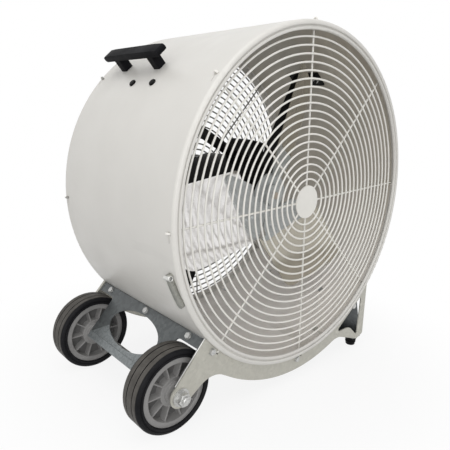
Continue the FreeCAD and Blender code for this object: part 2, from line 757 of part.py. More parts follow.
def web_frame():
    """Start point, downward direction and outward direction (x, z) of the wheel bracket's sloping plate."""
    start_x, start_z = polar(drum_radius + 1, web_angle)
    inner_face = ear_radius - panel_sheet - web_sheet
    gap_x = axle_x - start_x
    gap_z = axle_z - start_z
    distance = math.hypot(gap_x, gap_z)
    lean = math.asin(inner_face / distance)
    heading = math.atan2(gap_z, gap_x) - lean
    down = (math.cos(heading), math.sin(heading))
    outwards = (down[1], -down[0])
    return (start_x, start_z), down, outwards, distance * math.cos(lean)


def web_point(along, y, out):
    """A point of the wheel bracket: down its slope, along Y, and out from its inner face."""
    start, down, outwards, _ = web_frame()
    x = start[0] + down[0] * along + outwards[0] * out
    z = start[1] + down[1] * along + outwards[1] * out
    return FreeCAD.Vector(x, y, z)


def web_slab(circles, out_start, out_end):
    """A slab on the wheel bracket's slope; its outline is a belt in (y, up the slope)."""
    face = Part.Face(belt_wire(circles, lambda y, up: web_point(-up, y, out_start)))
    return face.extrude(web_point(0, 0, out_end) - web_point(0, 0, out_start))


def web_bolt_line(y):
    """Place of a bracket bolt on the inner face, and its direction outwards."""
    place = web_point(strip_height * 0.45, y, 0)
    return place, web_point(0, 0, 1) - web_point(0, 0, 0)


def web_drill(gap, place, outwards):
    """A drill for a base bolt, centred on a place, with a gap round the bolt."""
    length = 12 * base_bolt_radius
    return Part.makeCylinder(base_bolt_radius + gap, length, place - outwards * (length / 2), outwards)


def drum_room():
    """The space that the drum takes, with its clearance."""
    return rod(axis_x, axis_z, drum_radius + slide_gap, -drum_length, drum_length)


def loop_room():
    """The spaces that the rear guard's hooked spoke ends take outside the drum, with room to hook them in."""
    wide = guard_wire / 2 + loop_room_gap
    near = -spoke_plane - wide
    far = -spoke_plane + loop_spread + wide
    end = axis_x + drum_radius + loop_stand + loop_spread / 2 + wide
    room = block(axis_x + inner_radius, end, near, far, axis_z - wide, axis_z + wide)
    return [turned(room, angle) for angle in spoke_angles()]


def make_wheel_bracket():
    """Sloping plate between the wheels with its wide hole, its full-width top strip and its folded hem."""
    _, _, _, axle_down = web_frame()
    strip_half = panel_in - slide_gap
    web_half = wheel_middle - tyre_width / 2 - web_clear
    bottom = axle_down + hem_width
    fillet = 8.0
    corner = 4.0
    outline = [(-strip_half, 0, 0), (-strip_half + corner, corner - strip_height, corner)]
    outline += [(-web_half - fillet, -strip_height - fillet, -fillet)]
    outline += [(-web_half + corner, corner - bottom, corner)]
    outline += [(y, up, size) for y, up, size in [(-a, b, c) for a, b, c in reversed(outline)]]
    plate = web_slab(outline, 0, web_sheet)
    middle = (strip_height + axle_down) / 2 - strip_height * 0.25
    centre = web_point(middle, 0, -web_sheet)
    wide = web_point(middle, web_hole_width / 2, -web_sheet)
    high = web_point(middle + web_hole_height / 2, 0, -web_sheet)
    oval = Part.Face(Part.Wire(Part.Ellipse(wide, high, centre).toShape()))
    hole = oval.extrude(web_point(middle, 0, 2 * web_sheet) - centre)
    hem_half = web_half - corner
    hem = [(-hem_half, -bottom + hem_width, 0), (-hem_half, -bottom, 0), (hem_half, -bottom, 0)]
    hem += [(hem_half, -bottom + hem_width, 0)]
    plate = plate.fuse(web_slab(hem, web_sheet - 0.01, web_sheet + hem_sheet))
    holes = [hole]
    for y in (-web_bolt_spacing, 0, web_bolt_spacing):
        place, outwards = web_bolt_line(y)
        holes.append(web_drill(hole_gap, place, outwards))
    return plate.cut(holes).cut(drum_room())


def make_left_rail():
    """Angle under the drum that the wheel bracket is bolted to."""
    half = panel_in - saddle_sheet - slide_gap
    inner_half = half - saddle_width - slide_gap
    leg = [(-half, -2, 0), (-half, -rail_leg, 0), (half, -rail_leg, 0), (half, -2, 0)]
    upright_leg = web_slab(leg, -rail_sheet, -seat_gap)
    r_in = drum_radius + slide_gap
    under = arc_shell(r_in, r_in + rail_sheet, web_angle - 0.2, web_angle + rail_wrap, -inner_half, inner_half)
    far = 3 * rail_leg
    wide = 2 * half
    beyond = [(-wide, far, 0), (-wide, -far, 0), (wide, -far, 0), (wide, far, 0)]
    keep_out = web_slab(beyond, -seat_gap, far)
    rail = upright_leg.fuse(under).cut([drum_room(), keep_out])
    holes = []
    for y in (-web_bolt_spacing, 0, web_bolt_spacing):
        place, outwards = web_bolt_line(y)
        holes.append(web_drill(hole_gap, place, outwards))
    for angle, y in cradle_bolt_places():
        holes.append(turned(spur(base_bolt_radius + hole_gap, drum_radius - 5, drum_radius + 20, y), angle))
    return rail.cut(holes)


def make_web_bolts():
    """Three bolts through the bracket's strip and the rail, each with its nut."""
    bolts = []
    nuts = []
    for y in (-web_bolt_spacing, 0, web_bolt_spacing):
        place, outwards = web_bolt_line(y)
        grip = rail_sheet + 1.8 * base_bolt_radius
        shank = Part.makeCylinder(base_bolt_radius, grip + web_sheet + 2, place - outwards * grip, outwards)
        head_base = place + outwards * (web_sheet + seat_gap)
        head = hex_bar(3.4 * base_bolt_radius, 1.3 * base_bolt_radius, head_base, outwards)
        collar = Part.makeCylinder(2.1 * base_bolt_radius, 0.35 * base_bolt_radius, head_base, outwards)
        bolts.append(shank.fuse([head, collar]))
        nut_base = place - outwards * (rail_sheet + seat_gap)
        nut = hex_bar(3.4 * base_bolt_radius, 1.5 * base_bolt_radius, nut_base, outwards * -1)
        nuts.append(nut.cut(web_drill(seat_gap, place, outwards)))
    return bolts, nuts


def panel_circles():
    """Outline of an end panel, as circles that its edge runs round."""
    start, down, outwards, _ = web_frame()
    line_out = web_sheet + panel_sheet
    back = 14.0
    top_left = tuple(start[i] - down[i] * back + outwards[i] * line_out for i in (0, 1)) + (0,)
    belly = drum_radius + belly_depth
    left_arch = polar(belly + left_arch_radius + arch_gap, left_arch_angle) + (-left_arch_radius,)
    right_arch = polar(belly + right_arch_radius + arch_gap, right_arch_angle) + (-right_arch_radius,)
    corner = 7.0
    toe = flange_top - panel_sheet
    inner_toe = (foot_x - 8, toe + corner, corner)
    outer_toe = (foot_x + foot_radius - 3, toe + 2 * corner, corner)
    top_right = polar(drum_radius - 10, 322.9) + (0,)
    return [top_left, (axle_x, axle_z, ear_radius), left_arch, (axis_x, axis_z, belly), right_arch,
            inner_toe, outer_toe, top_right]


def panel_window():
    """Rounded three-cornered window near the foot, with an arched sill."""
    top = polar(drum_radius + window_margin, 312.3) + (5.0,)
    left = polar(drum_radius + window_margin + 5, 297.1) + (6.0,)
    right = (foot_x - 13, flange_top + 18, 5.0)
    run = math.hypot(right[0] - left[0], right[1] - left[1])
    sill_x = (left[0] + right[0]) / 2 + (right[1] - left[1]) * 0.36
    sill_z = (left[1] + right[1]) / 2 - (right[0] - left[0]) * 0.36
    return [top, left, (sill_x, sill_z, -0.45 * run), right]


def panel_bolt_angles():
    """Angles of the bolts through a panel and a saddle's flange."""
    return [saddle_first + panel_bolt_inset, middle_bolt_angle, saddle_last - panel_bolt_inset]


def panel_bolt_circle():
    """Radius of those bolts."""
    return drum_radius + slide_gap + saddle_sheet + saddle_flange * 0.45


def edge_flange(line, y_start, y_end, trim_start, trim_end):
    """A folded edge along one straight stretch of the panel's outline."""
    (a0, b0), (a1, b1) = line
    length = math.hypot(a1 - a0, b1 - b0)
    da = (a1 - a0) / length
    db = (b1 - b0) / length
    inner = (-db * panel_sheet, da * panel_sheet)
    start = (a0 + da * trim_start, b0 + db * trim_start)
    end = (a1 - da * trim_end, b1 - db * trim_end)
    corners = [start, end, (end[0] + inner[0], end[1] + inner[1]), (start[0] + inner[0], start[1] + inner[1])]
    points = [FreeCAD.Vector(x, y_start, z) for x, z in corners]
    return Part.Face(Part.makePolygon(points + points[:1])).extrude(FreeCAD.Vector(0, y_end - y_start, 0))


def make_rear_panel():
    """End panel that carries the axle, cups the drum and reaches down to the foot."""
    circles = panel_circles()
    plate = plate_y(circles, panel_in, panel_out)
    lines = belt_lines(circles)
    fold_start = panel_in - panel_flange
    left = edge_flange(lines[0], fold_start, panel_in + 1, 0, 10)
    right = edge_flange(lines[6], fold_start, panel_in + 1, 4, 0)
    plate = plate.fuse([left, right])
    cuts = [drum_room(), plate_y(panel_window(), panel_in - 1, panel_out + 1)] + loop_room()
    cuts.append(rod(axle_x, axle_z, axle_radius + hole_gap, panel_in - 1, panel_out + 1))
    for angle in panel_bolt_angles():
        x, z = polar(panel_bolt_circle(), angle)
        cuts.append(rod(x, z, base_bolt_radius + hole_gap, panel_in - 1, panel_out + 1))
    return plate.cut(cuts)


def make_rear_saddle():
    """Curved band under the drum with a flange against the end panel."""
    r_in = drum_radius + slide_gap
    y_end = panel_in - seat_gap
    y_start = y_end - saddle_width
    band = arc_shell(r_in, r_in + saddle_sheet, saddle_first, saddle_last, y_start, y_end)
    flange = arc_shell(r_in, r_in + saddle_flange, saddle_first, saddle_last, y_end - saddle_sheet, y_end)
    cuts = loop_room()
    for angle in panel_bolt_angles():
        x, z = polar(panel_bolt_circle(), angle)
        cuts.append(rod(x, z, base_bolt_radius + hole_gap, y_start, y_end + 1))
    for angle, y in cradle_bolt_places():
        cuts.append(turned(spur(base_bolt_radius + hole_gap, drum_radius - 5, drum_radius + 20, y), angle))
    return band.fuse(flange).cut(cuts)


def make_panel_bolts():
    """Bolts through each panel and saddle, with their nuts on the inside."""
    bolts = []
    nuts = []
    height = 1.3 * base_bolt_radius
    nut_height = 1.5 * base_bolt_radius
    inside = panel_in - seat_gap - saddle_sheet
    for angle in panel_bolt_angles():
        x, z = polar(panel_bolt_circle(), angle)
        shank = rod(x, z, base_bolt_radius, inside - nut_height - 2, panel_out + 1)
        base = FreeCAD.Vector(x, panel_out + seat_gap, z)
        head = hex_bar(3.4 * base_bolt_radius, height, base, along_y)
        collar = Part.makeCylinder(2.1 * base_bolt_radius, 0.35 * base_bolt_radius, base, along_y)
        nut_base = FreeCAD.Vector(x, inside - seat_gap, z)
        nut = hex_bar(3.4 * base_bolt_radius, nut_height, nut_base, along_y * -1)
        nut = nut.cut(rod(x, z, base_bolt_radius + seat_gap, inside - 2 * nut_height, inside + 1))
        bolts.append(shank.fuse([head, collar]))
        nuts.append(nut)
    return bolts + [mirrored(bolt) for bolt in bolts], nuts + [mirrored(nut) for nut in nuts]


def foot_plate_frame():
    """Top point, downward direction and outward direction (x, z) of the plate on the foot side."""
    top_x, top_z = polar(drum_radius + 1, foot_plate_angle)
    low_x = foot_x + foot_radius - 1
    low_z = flange_top
    length = math.hypot(low_x - top_x, low_z - top_z)
    down = ((low_x - top_x) / length, (low_z - top_z) / length)
    outwards = (-down[1], down[0])
    return (top_x, top_z), down, outwards, length


def foot_slab(y_half, along_start, along_end, out_start, out_end):
    """A slab on the foot side's sloping plane."""
    top, down, outwards, _ = foot_plate_frame()
    corners = []
    places = [(along_start, out_start), (along_end, out_start), (along_end, out_end), (along_start, out_end)]
    for along, out in places:
        x = top[0] + down[0] * along + outwards[0] * out
        z = top[1] + down[1] * along + outwards[1] * out
        corners.append(FreeCAD.Vector(x, -y_half, z))
    face = Part.Face(Part.makePolygon(corners + corners[:1]))
    return face.extrude(FreeCAD.Vector(0, 2 * y_half, 0))


def foot_places():
    """Places along Y of the two feet."""
    place = panel_in - foot_radius - 4
    return [-place, place]


def make_foot_bracket():
    """Plate on the foot side with a flange along the bottom that the feet are screwed to."""
    _, _, _, length = foot_plate_frame()
    half = panel_in - slide_gap
    plate = foot_slab(half, 0, length, -web_sheet, 0)
    flange_end = foot_x + foot_radius - 1
    flange = block(foot_x - foot_radius - 5, flange_end, -half, half, flange_top - panel_sheet, flange_top)
    bracket = plate.fuse(flange)
    holes = [drum_room()]
    for y in foot_places():
        start = FreeCAD.Vector(foot_x, y, flange_top - 2 * panel_sheet)
        holes.append(Part.makeCylinder(base_bolt_radius + hole_gap, 4 * panel_sheet, start))
    return bracket.cut(holes)


def make_right_rail():
    """Angle under the drum on the foot side."""
    half = panel_in - saddle_sheet - slide_gap
    inner_half = half - saddle_width - slide_gap
    leg = foot_slab(half, 2, rail_leg, -web_sheet - seat_gap - rail_sheet, -web_sheet - seat_gap)
    r_in = drum_radius + slide_gap
    under = arc_shell(r_in, r_in + rail_sheet, foot_plate_angle - rail_wrap, foot_plate_angle + 0.5,
                      -inner_half, inner_half)
    far = 3 * rail_leg
    keep_out = foot_slab(2 * half, -far, far, -web_sheet - seat_gap, far)
    holes = [drum_room(), keep_out]
    for angle, y in cradle_bolt_places():
        holes.append(turned(spur(base_bolt_radius + hole_gap, drum_radius - 5, drum_radius + 20, y), angle))
    return leg.fuse(under).cut(holes)


def make_cradle_bolts():
    """Round-headed bolts from inside the drum into the saddles and rails, with nuts below."""
    bolts = []
    nuts = []
    nut_height = 1.5 * base_bolt_radius
    head_height = 0.8 * base_bolt_radius
    for index, (angle, y) in enumerate(cradle_bolt_places()):
        sheet = saddle_sheet if index < 4 else rail_sheet
        seat = drum_radius + slide_gap + sheet + 2 * seat_gap
        under = inner_radius - 2 * seat_gap
        wide = 2 * base_bolt_radius
        head = spur(wide, under - head_height, under, y)
        head = head.common(rod(axis_x, axis_z, inner_radius - seat_gap, y - 2 * wide, y + 2 * wide))
        shank = spur(base_bolt_radius, inner_radius - head_height, seat + nut_height + 2, y)
        bolts.append(turned(head.fuse(shank), angle))
        base = FreeCAD.Vector(axis_x + seat, y, axis_z)
        nut = hex_bar(3.4 * base_bolt_radius, nut_height, base, FreeCAD.Vector(1, 0, 0))
        nuts.append(turned(nut.cut(spur(base_bolt_radius + seat_gap, drum_radius, seat + 20, y)), angle))
    return bolts, nuts


def make_feet():
    """Ribbed rubber feet, and the screw that holds each one up to the flange."""
    feet = []
    screws = []
    top = flange_top - panel_sheet - seat_gap
    head_height = 1.4 * base_bolt_radius
    head_seat = foot_height * 0.45
    upright_axis = FreeCAD.Vector(0, 0, 1)
    for y in foot_places():
        base = FreeCAD.Vector(foot_x, y, 0)
        lower = Part.makeCylinder(foot_radius - 2.5, top * 0.6, base)
        lower = lower.makeChamfer(1.5, [e for e in lower.Edges if e.BoundBox.ZMax < 0.01])
        rib = Part.makeCylinder(foot_radius - 0.8, top * 0.16, base + upright_axis * (top * 0.3))
        collar = Part.makeCylinder(foot_radius, top * 0.4, base + upright_axis * (top * 0.6))
        foot = lower.fuse([rib, collar])
        foot = foot.cut([Part.makeCylinder(2.2 * base_bolt_radius, head_seat, base),
                         Part.makeCylinder(base_bolt_radius + hole_gap, foot_height * 2, base)])
        feet.append(foot)
        head_base = base + upright_axis * (head_seat - head_height - seat_gap)
        head = Part.makeCylinder(1.9 * base_bolt_radius, head_height, head_base)
        shank_end = flange_top + 2.2 * base_bolt_radius
        shank = Part.makeCylinder(base_bolt_radius, shank_end - head_base.z, head_base)
        screws.append(head.fuse(shank))
    nuts = []
    for y in foot_places():
        base = FreeCAD.Vector(foot_x, y, flange_top + seat_gap)
        nut = hex_bar(3.4 * base_bolt_radius, 1.5 * base_bolt_radius, base, upright_axis)
        nuts.append(nut.cut(web_drill(seat_gap, base, upright_axis)))
    return feet, screws, nuts


def make_handle():
    """Lift handle on two posts, and the screws from inside the drum that hold it."""
    middle = drum_front + handle_place
    grip_top = drum_radius + handle_rise
    grip_low = grip_top - handle_thickness
    round_size = handle_thickness / 2 - 0.5
    half = handle_length / 2 - round_size
    low = grip_low + round_size
    high = grip_top - round_size
    outline = [(middle - half, low, round_size), (middle + half, low, round_size)]
    outline += [(middle + half * 0.8, high, round_size), (middle - half * 0.8, high, round_size)]
    side = handle_width / 2
    face = Part.Face(belt_wire(outline, lambda y, r: FreeCAD.Vector(axis_x + r, y, axis_z - side)))
    grip = face.extrude(FreeCAD.Vector(0, 0, handle_width))
    posts = []
    screws = []
    for y in handle_post_places():
        wide = handle_post_width / 2
        deep = handle_post_depth / 2
        post_start = axis_x + drum_radius + slide_gap
        post = block(post_start, axis_x + grip_low + 2, y - wide, y + wide, axis_z - deep, axis_z + deep)
        long_edges = [e for e in post.Edges if e.BoundBox.XLength > handle_thickness]
        posts.append(post.makeFillet(handle_screw_radius, long_edges))
    handle = grip.fuse(posts)
    bores = []
    for y in handle_post_places():
        depth = drum_radius + handle_rise * 0.5
        bores.append(spur(handle_screw_radius + seat_gap, drum_radius - 1, depth + 1, y))
        head = spur(2 * handle_screw_radius, inner_radius - 3 - 2 * seat_gap, inner_radius - 2 * seat_gap, y)
        head = head.common(rod(axis_x, axis_z, inner_radius - seat_gap, y - 20, y + 20))
        screws.append(turned(head.fuse(spur(handle_screw_radius, inner_radius - 3, depth, y)), handle_angle))
    return turned(handle.cut(bores), handle_angle), screws


def make_switch():
    """Switch box inside the rear guard, its cover, screws, knob, cable gland and the conduit to the motor."""
    plate_inside = -(spoke_plane - guard_wire / 2 - seat_gap) - guard_wire - 2 * seat_gap
    box_back = plate_inside - 2 * seat_gap
    box_front = box_back - switch_depth
    wide = switch_width / 2
    high = switch_height / 2
    outer = block(axis_x - wide, axis_x + wide, box_front, box_back, axis_z - high, axis_z + high)
    room_wide = wide - switch_sheet
    room_high = high - switch_sheet
    inner = block(axis_x - room_wide, axis_x + room_wide, box_front - 1, box_back - switch_sheet,
                  axis_z - room_high, axis_z + room_high)
    cover = block(axis_x - wide, axis_x + wide, box_front - switch_sheet - seat_gap, box_front - seat_gap,
                  axis_z - high, axis_z + high)
    shaft_hole = rod(axis_x, axis_z, knob_shaft_radius + running_gap, box_front, drum_length)
    gland_at = FreeCAD.Vector(axis_x, (box_front + box_back) / 2, axis_z - high + switch_sheet)
    down = FreeCAD.Vector(0, 0, -1)
    above = gland_at - down * switch_sheet
    stem_radius = gland_radius * 0.6
    gland_hole = Part.makeCylinder(stem_radius + hole_gap, 4 * switch_sheet, above, down)
    bosses = []
    screws = []
    screw_holes = []
    for side in (-1, 1):
        for rise in (-1, 1):
            half = switch_boss / 2
            x = axis_x + side * (wide - half)
            z = axis_z + rise * (high - half)
            bosses.append(block(x - half, x + half, box_front, box_back, z - half, z + half))
            reach = 6 * switch_screw_radius
            drill_end = box_front + reach + switch_sheet
            screw_holes.append(rod(x, z, switch_screw_radius + seat_gap, box_front - reach, drill_end))
            front = box_front - switch_sheet - 2 * seat_gap
            head = rod(x, z, 2 * switch_screw_radius, front - 1.3 * switch_screw_radius, front)
            shank = rod(x, z, switch_screw_radius, front - switch_screw_radius, box_front + reach)
            screws.append(head.fuse(shank))
    conduit_hole = rod(axis_x, axis_z + high / 2, conduit_radius + seat_gap, box_front - 20, box_front + 5)
    box = outer.cut(inner).fuse(bosses).cut(screw_holes + [shaft_hole, gland_hole])
    cover = cover.cut(screw_holes + [conduit_hole])
    collar_top = gland_at + down * (switch_sheet + seat_gap)
    collar_length = gland_length * 0.4
    neck_top = collar_top + down * collar_length
    collar = Part.makeCylinder(gland_radius, collar_length, collar_top, down)
    neck = Part.makeCone(gland_radius * 0.9, stem_radius, gland_length - collar_length, neck_top, down)
    stem = Part.makeCylinder(stem_radius, 3 * switch_sheet, above, down)
    cord_way = Part.makeCylinder(gland_radius * 0.35, 4 * gland_length, gland_at - down * gland_length, down)
    gland = collar.fuse([neck, stem]).cut(cord_way)
    conduit_start = motor_back + bell_length + seat_gap
    conduit = rod(axis_x, axis_z + high / 2, conduit_radius, conduit_start, box_front - seat_gap)
    plate_outside = -(spoke_plane - guard_wire / 2 - seat_gap) + hub_plate_thickness
    knob_start = plate_outside + slide_gap
    knob = rod(axis_x, axis_z, knob_radius, knob_start, knob_start + knob_depth)
    dish_start = knob_start + knob_depth * 0.3
    dish_end = knob_start + knob_depth + 1
    grip_half = knob_radius * 0.3
    grip = block(axis_x - grip_half, axis_x + grip_half, dish_start, dish_end,
                 axis_z - knob_radius * 1.2, axis_z + knob_radius * 1.2)
    dished = tube(axis_x, axis_z, 2 * knob_radius, knob_radius * 0.82, dish_start, dish_end)
    knob = knob.cut(dished.cut(grip))
    knob = knob.fuse(rod(axis_x, axis_z, knob_shaft_radius, box_back - switch_sheet - 6, knob_start + 1))
    return box, cover, screws, knob, gland, conduit


def main():
    """Build every piece and write one file for each node."""
    os.makedirs("parts", exist_ok=True)
    save("drum_housing", make_drum())
    rings = make_guard_rings()
    save("front_guard_rings", rings)
    save("rear_guard_rings", [mirrored(ring) for ring in rings])
    save("front_guard_spokes", make_guard_spokes(hub_plate_radius * 0.3))
    rear_spokes = make_guard_spokes(rear_plate_radius * 0.3)
    save("rear_guard_spokes", [mirrored(spoke) for spoke in rear_spokes])
    save("front_guard_hub_plate", make_hub_plate(hub_plate_radius))
    save("rear_guard_hub_plate", mirrored(make_hub_plate(rear_plate_radius, knob_shaft_radius + hole_gap)))
    clips, rolls = make_clips()
    save("guard_clips", clips)
    save("guard_clip_rolls", rolls)
    shell, front_bell, back_bell, bearings, shaft = make_motor()
    save("motor_shell", shell)
    save("motor_front_bell", front_bell)
    save("motor_rear_bell", back_bell)
    save("motor_bearings", bearings)
    save("motor_shaft", shaft)
    band, arms, mount_bolts, mount_nuts = make_motor_mount()
    save("motor_mount_band", band)
    save("motor_mount_arms", arms)
    save("motor_mount_bolts", mount_bolts)
    save("motor_mount_nuts", mount_nuts)
    save("capacitor_cover", make_capacitor_cover())
    hub, spider, blades, rivets, set_screw = make_propeller()
    save("propeller_hub", hub)
    save("propeller_spider", spider)
    for index, blade in enumerate(blades):
        save("propeller_blade_%d" % (index + 1), blade)
    save("propeller_rivets", rivets)
    save("propeller_set_screw", set_screw)
    for name, side in (("front", -1), ("rear", 1)):
        tyre, rim, bush = make_wheel(side)
        save(name + "_wheel_tyre", tyre)
        save(name + "_wheel_rim", rim)
        save(name + "_wheel_bush", bush)
    axle, spacers, washers, nuts = make_axle()
    save("axle", axle)
    save("axle_spacers", spacers)
    save("axle_washers", washers)
    save("axle_nuts", nuts)
    save("wheel_bracket", make_wheel_bracket())
    save("wheel_side_rail", make_left_rail())
    web_bolts, web_nuts = make_web_bolts()
    save("wheel_bracket_bolts", web_bolts)
    panel = make_rear_panel()
    save("rear_panel", panel)
    save("front_panel", mirrored(panel))
    saddle = make_rear_saddle()
    save("rear_saddle", saddle)
    save("front_saddle", mirrored(saddle))
    panel_bolts, panel_nuts = make_panel_bolts()
    save("panel_bolts", panel_bolts)
    save("foot_bracket", make_foot_bracket())
    save("foot_side_rail", make_right_rail())
    cradle_bolts, cradle_nuts = make_cradle_bolts()
    save("cradle_bolts", cradle_bolts)
    feet, foot_screws, foot_nuts = make_feet()
    save("rubber_feet", feet)
    save("foot_screws", foot_screws)
    save("base_nuts", web_nuts + panel_nuts + cradle_nuts + foot_nuts)
    handle, handle_screws = make_handle()
    save("lift_handle", handle)
    save("handle_screws", handle_screws)
    box, cover, switch_screws, knob, gland, conduit = make_switch()
    save("switch_box", box)
    save("switch_cover", cover)
    save("switch_screws", switch_screws)
    save("switch_knob", knob)
    save("cable_gland", gland)
    save("motor_conduit", conduit)


main()
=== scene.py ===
import json
import math

import bmesh
import bpy
from mathutils import Matrix, Vector


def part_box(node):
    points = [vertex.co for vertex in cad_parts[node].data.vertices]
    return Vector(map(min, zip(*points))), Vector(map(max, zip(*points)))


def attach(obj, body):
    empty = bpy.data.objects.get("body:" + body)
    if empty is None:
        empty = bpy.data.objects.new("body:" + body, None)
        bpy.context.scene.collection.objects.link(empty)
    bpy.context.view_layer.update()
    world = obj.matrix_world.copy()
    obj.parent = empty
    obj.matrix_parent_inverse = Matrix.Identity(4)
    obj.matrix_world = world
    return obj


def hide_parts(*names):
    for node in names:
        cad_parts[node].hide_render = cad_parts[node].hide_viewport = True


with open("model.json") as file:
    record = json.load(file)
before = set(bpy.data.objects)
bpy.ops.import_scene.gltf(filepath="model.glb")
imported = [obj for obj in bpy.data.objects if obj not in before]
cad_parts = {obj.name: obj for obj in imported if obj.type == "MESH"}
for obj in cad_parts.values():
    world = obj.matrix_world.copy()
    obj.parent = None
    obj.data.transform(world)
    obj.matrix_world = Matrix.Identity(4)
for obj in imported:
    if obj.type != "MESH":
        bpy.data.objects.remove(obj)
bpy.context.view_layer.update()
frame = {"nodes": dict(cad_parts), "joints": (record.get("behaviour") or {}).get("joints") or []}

bl_info = {
    "name": "Drum fan dressing",
    "version": (1, 0, 0),
    "blender": (4, 5, 0),
    "location": "3D View > Sidebar > Drum fan",
    "description": "Finishes, moulded details and studio for a wheeled drum fan built around its CAD frame",
    "category": "Object",
}

nodes = frame["nodes"]

# Mesh work, in metres
MERGE_DISTANCE = 1e-5
SHARP_ANGLE = math.radians(35)
FLAT_ANGLE = math.radians(1)
LATHE_STEPS = 96
SHOULDER_STEPS = 8
EDGE_SEGMENTS = 2
HANDLE_SEGMENTS = 3

# A tyre's side ridge, in steps of the side: how wide it is and how far its slope runs
RIDGE_WIDTH = 3
RIDGE_SLOPE = 0.3

# Where a finish starts and ends, in metres
LIP_DEPTH = 0.018
PAINT_FADE = 0.002
# painted light inside the drum: the paler colour starts this far above the axis and is full this far below it
FLOOR_LIGHT_ABOVE_AXIS = 0.05
FLOOR_LIGHT_BELOW_AXIS = 0.3
TREAD_DUST_START = 0.0007
TREAD_DUST_FULL = 0.0002
HEM_HEIGHT = 0.03
# painted highlight on the bent edge up to this far behind the panel's front, painted shadow from this far back
BENT_HIGHLIGHT_END = 0.0045
BENT_SHADOW_FULL = 0.0065
POCKET_DEPTH = 0.008

# Which faces take a second finish: least area in square metres, and limits on a part of the normal
BENT_AREA = 2e-4
BENT_FACING = 0.4
WIRE_FACING = 0.2
HEM_FACING = 0.5
POCKET_FACING = 0.7

# How much lighter or darker a second finish is than the first
# painted shade on the rear guard's wire faces that look into the drum
REAR_WIRE_PAINTED_SHADE = 0.38
# painted light on the bracket's hem, lighter than the bracket
HEM_PAINTED_LIGHT = 1.8
# painted shade in the recessed pockets of the rims
POCKET_PAINTED_SHADE = 0.45
FOOT_SHADE = 0.5

# Relief: strengths, and depths in metres
GRAIN_DEPTH = 0.0004
SPANGLE_RELIEF = 0.15
SPANGLE_DEPTH = 0.0002
WAVE_SCALE = 16.0
WAVE_RELIEF = 0.3
WAVE_DEPTH = 0.002

# Stray marks: scale, and shade beside the finish, which is pale when its channels add up to more than a sum
PAINT_MARK_SCALE = 14.0
ZINC_MARK_SCALE = 40.0
PALE_SUM = 0.3
MARK_ON_PALE = 0.6
MARK_ON_DARK = 3.0
MARK_ON_ZINC = 1.5
MARK_ON_BLADE = 0.8
MARK_INSIDE = 0.7

# The floor: half its width and where its shadow fades, in metres, and how much of it glows beside the fan
FLOOR_REACH = 12.0
FADE_START = 0.3
FADE_END = 0.75
LEAST_GLOW = 0.87

# The camera's sensor, in millimetres
SENSOR_WIDTH = 36.0


def joint_point(name):
    """A point on a joint's axis."""
    for joint in frame["joints"]:
        if joint["name"] == name:
            return Vector(joint["pos_m"])
    raise RuntimeError("no joint named " + name)


guard_low, guard_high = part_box("front_guard_rings")
guard_middle = (guard_low + guard_high) / 2
drum_axis = joint_point("rotor_spin")
axle_point = joint_point("front_wheel_spin")


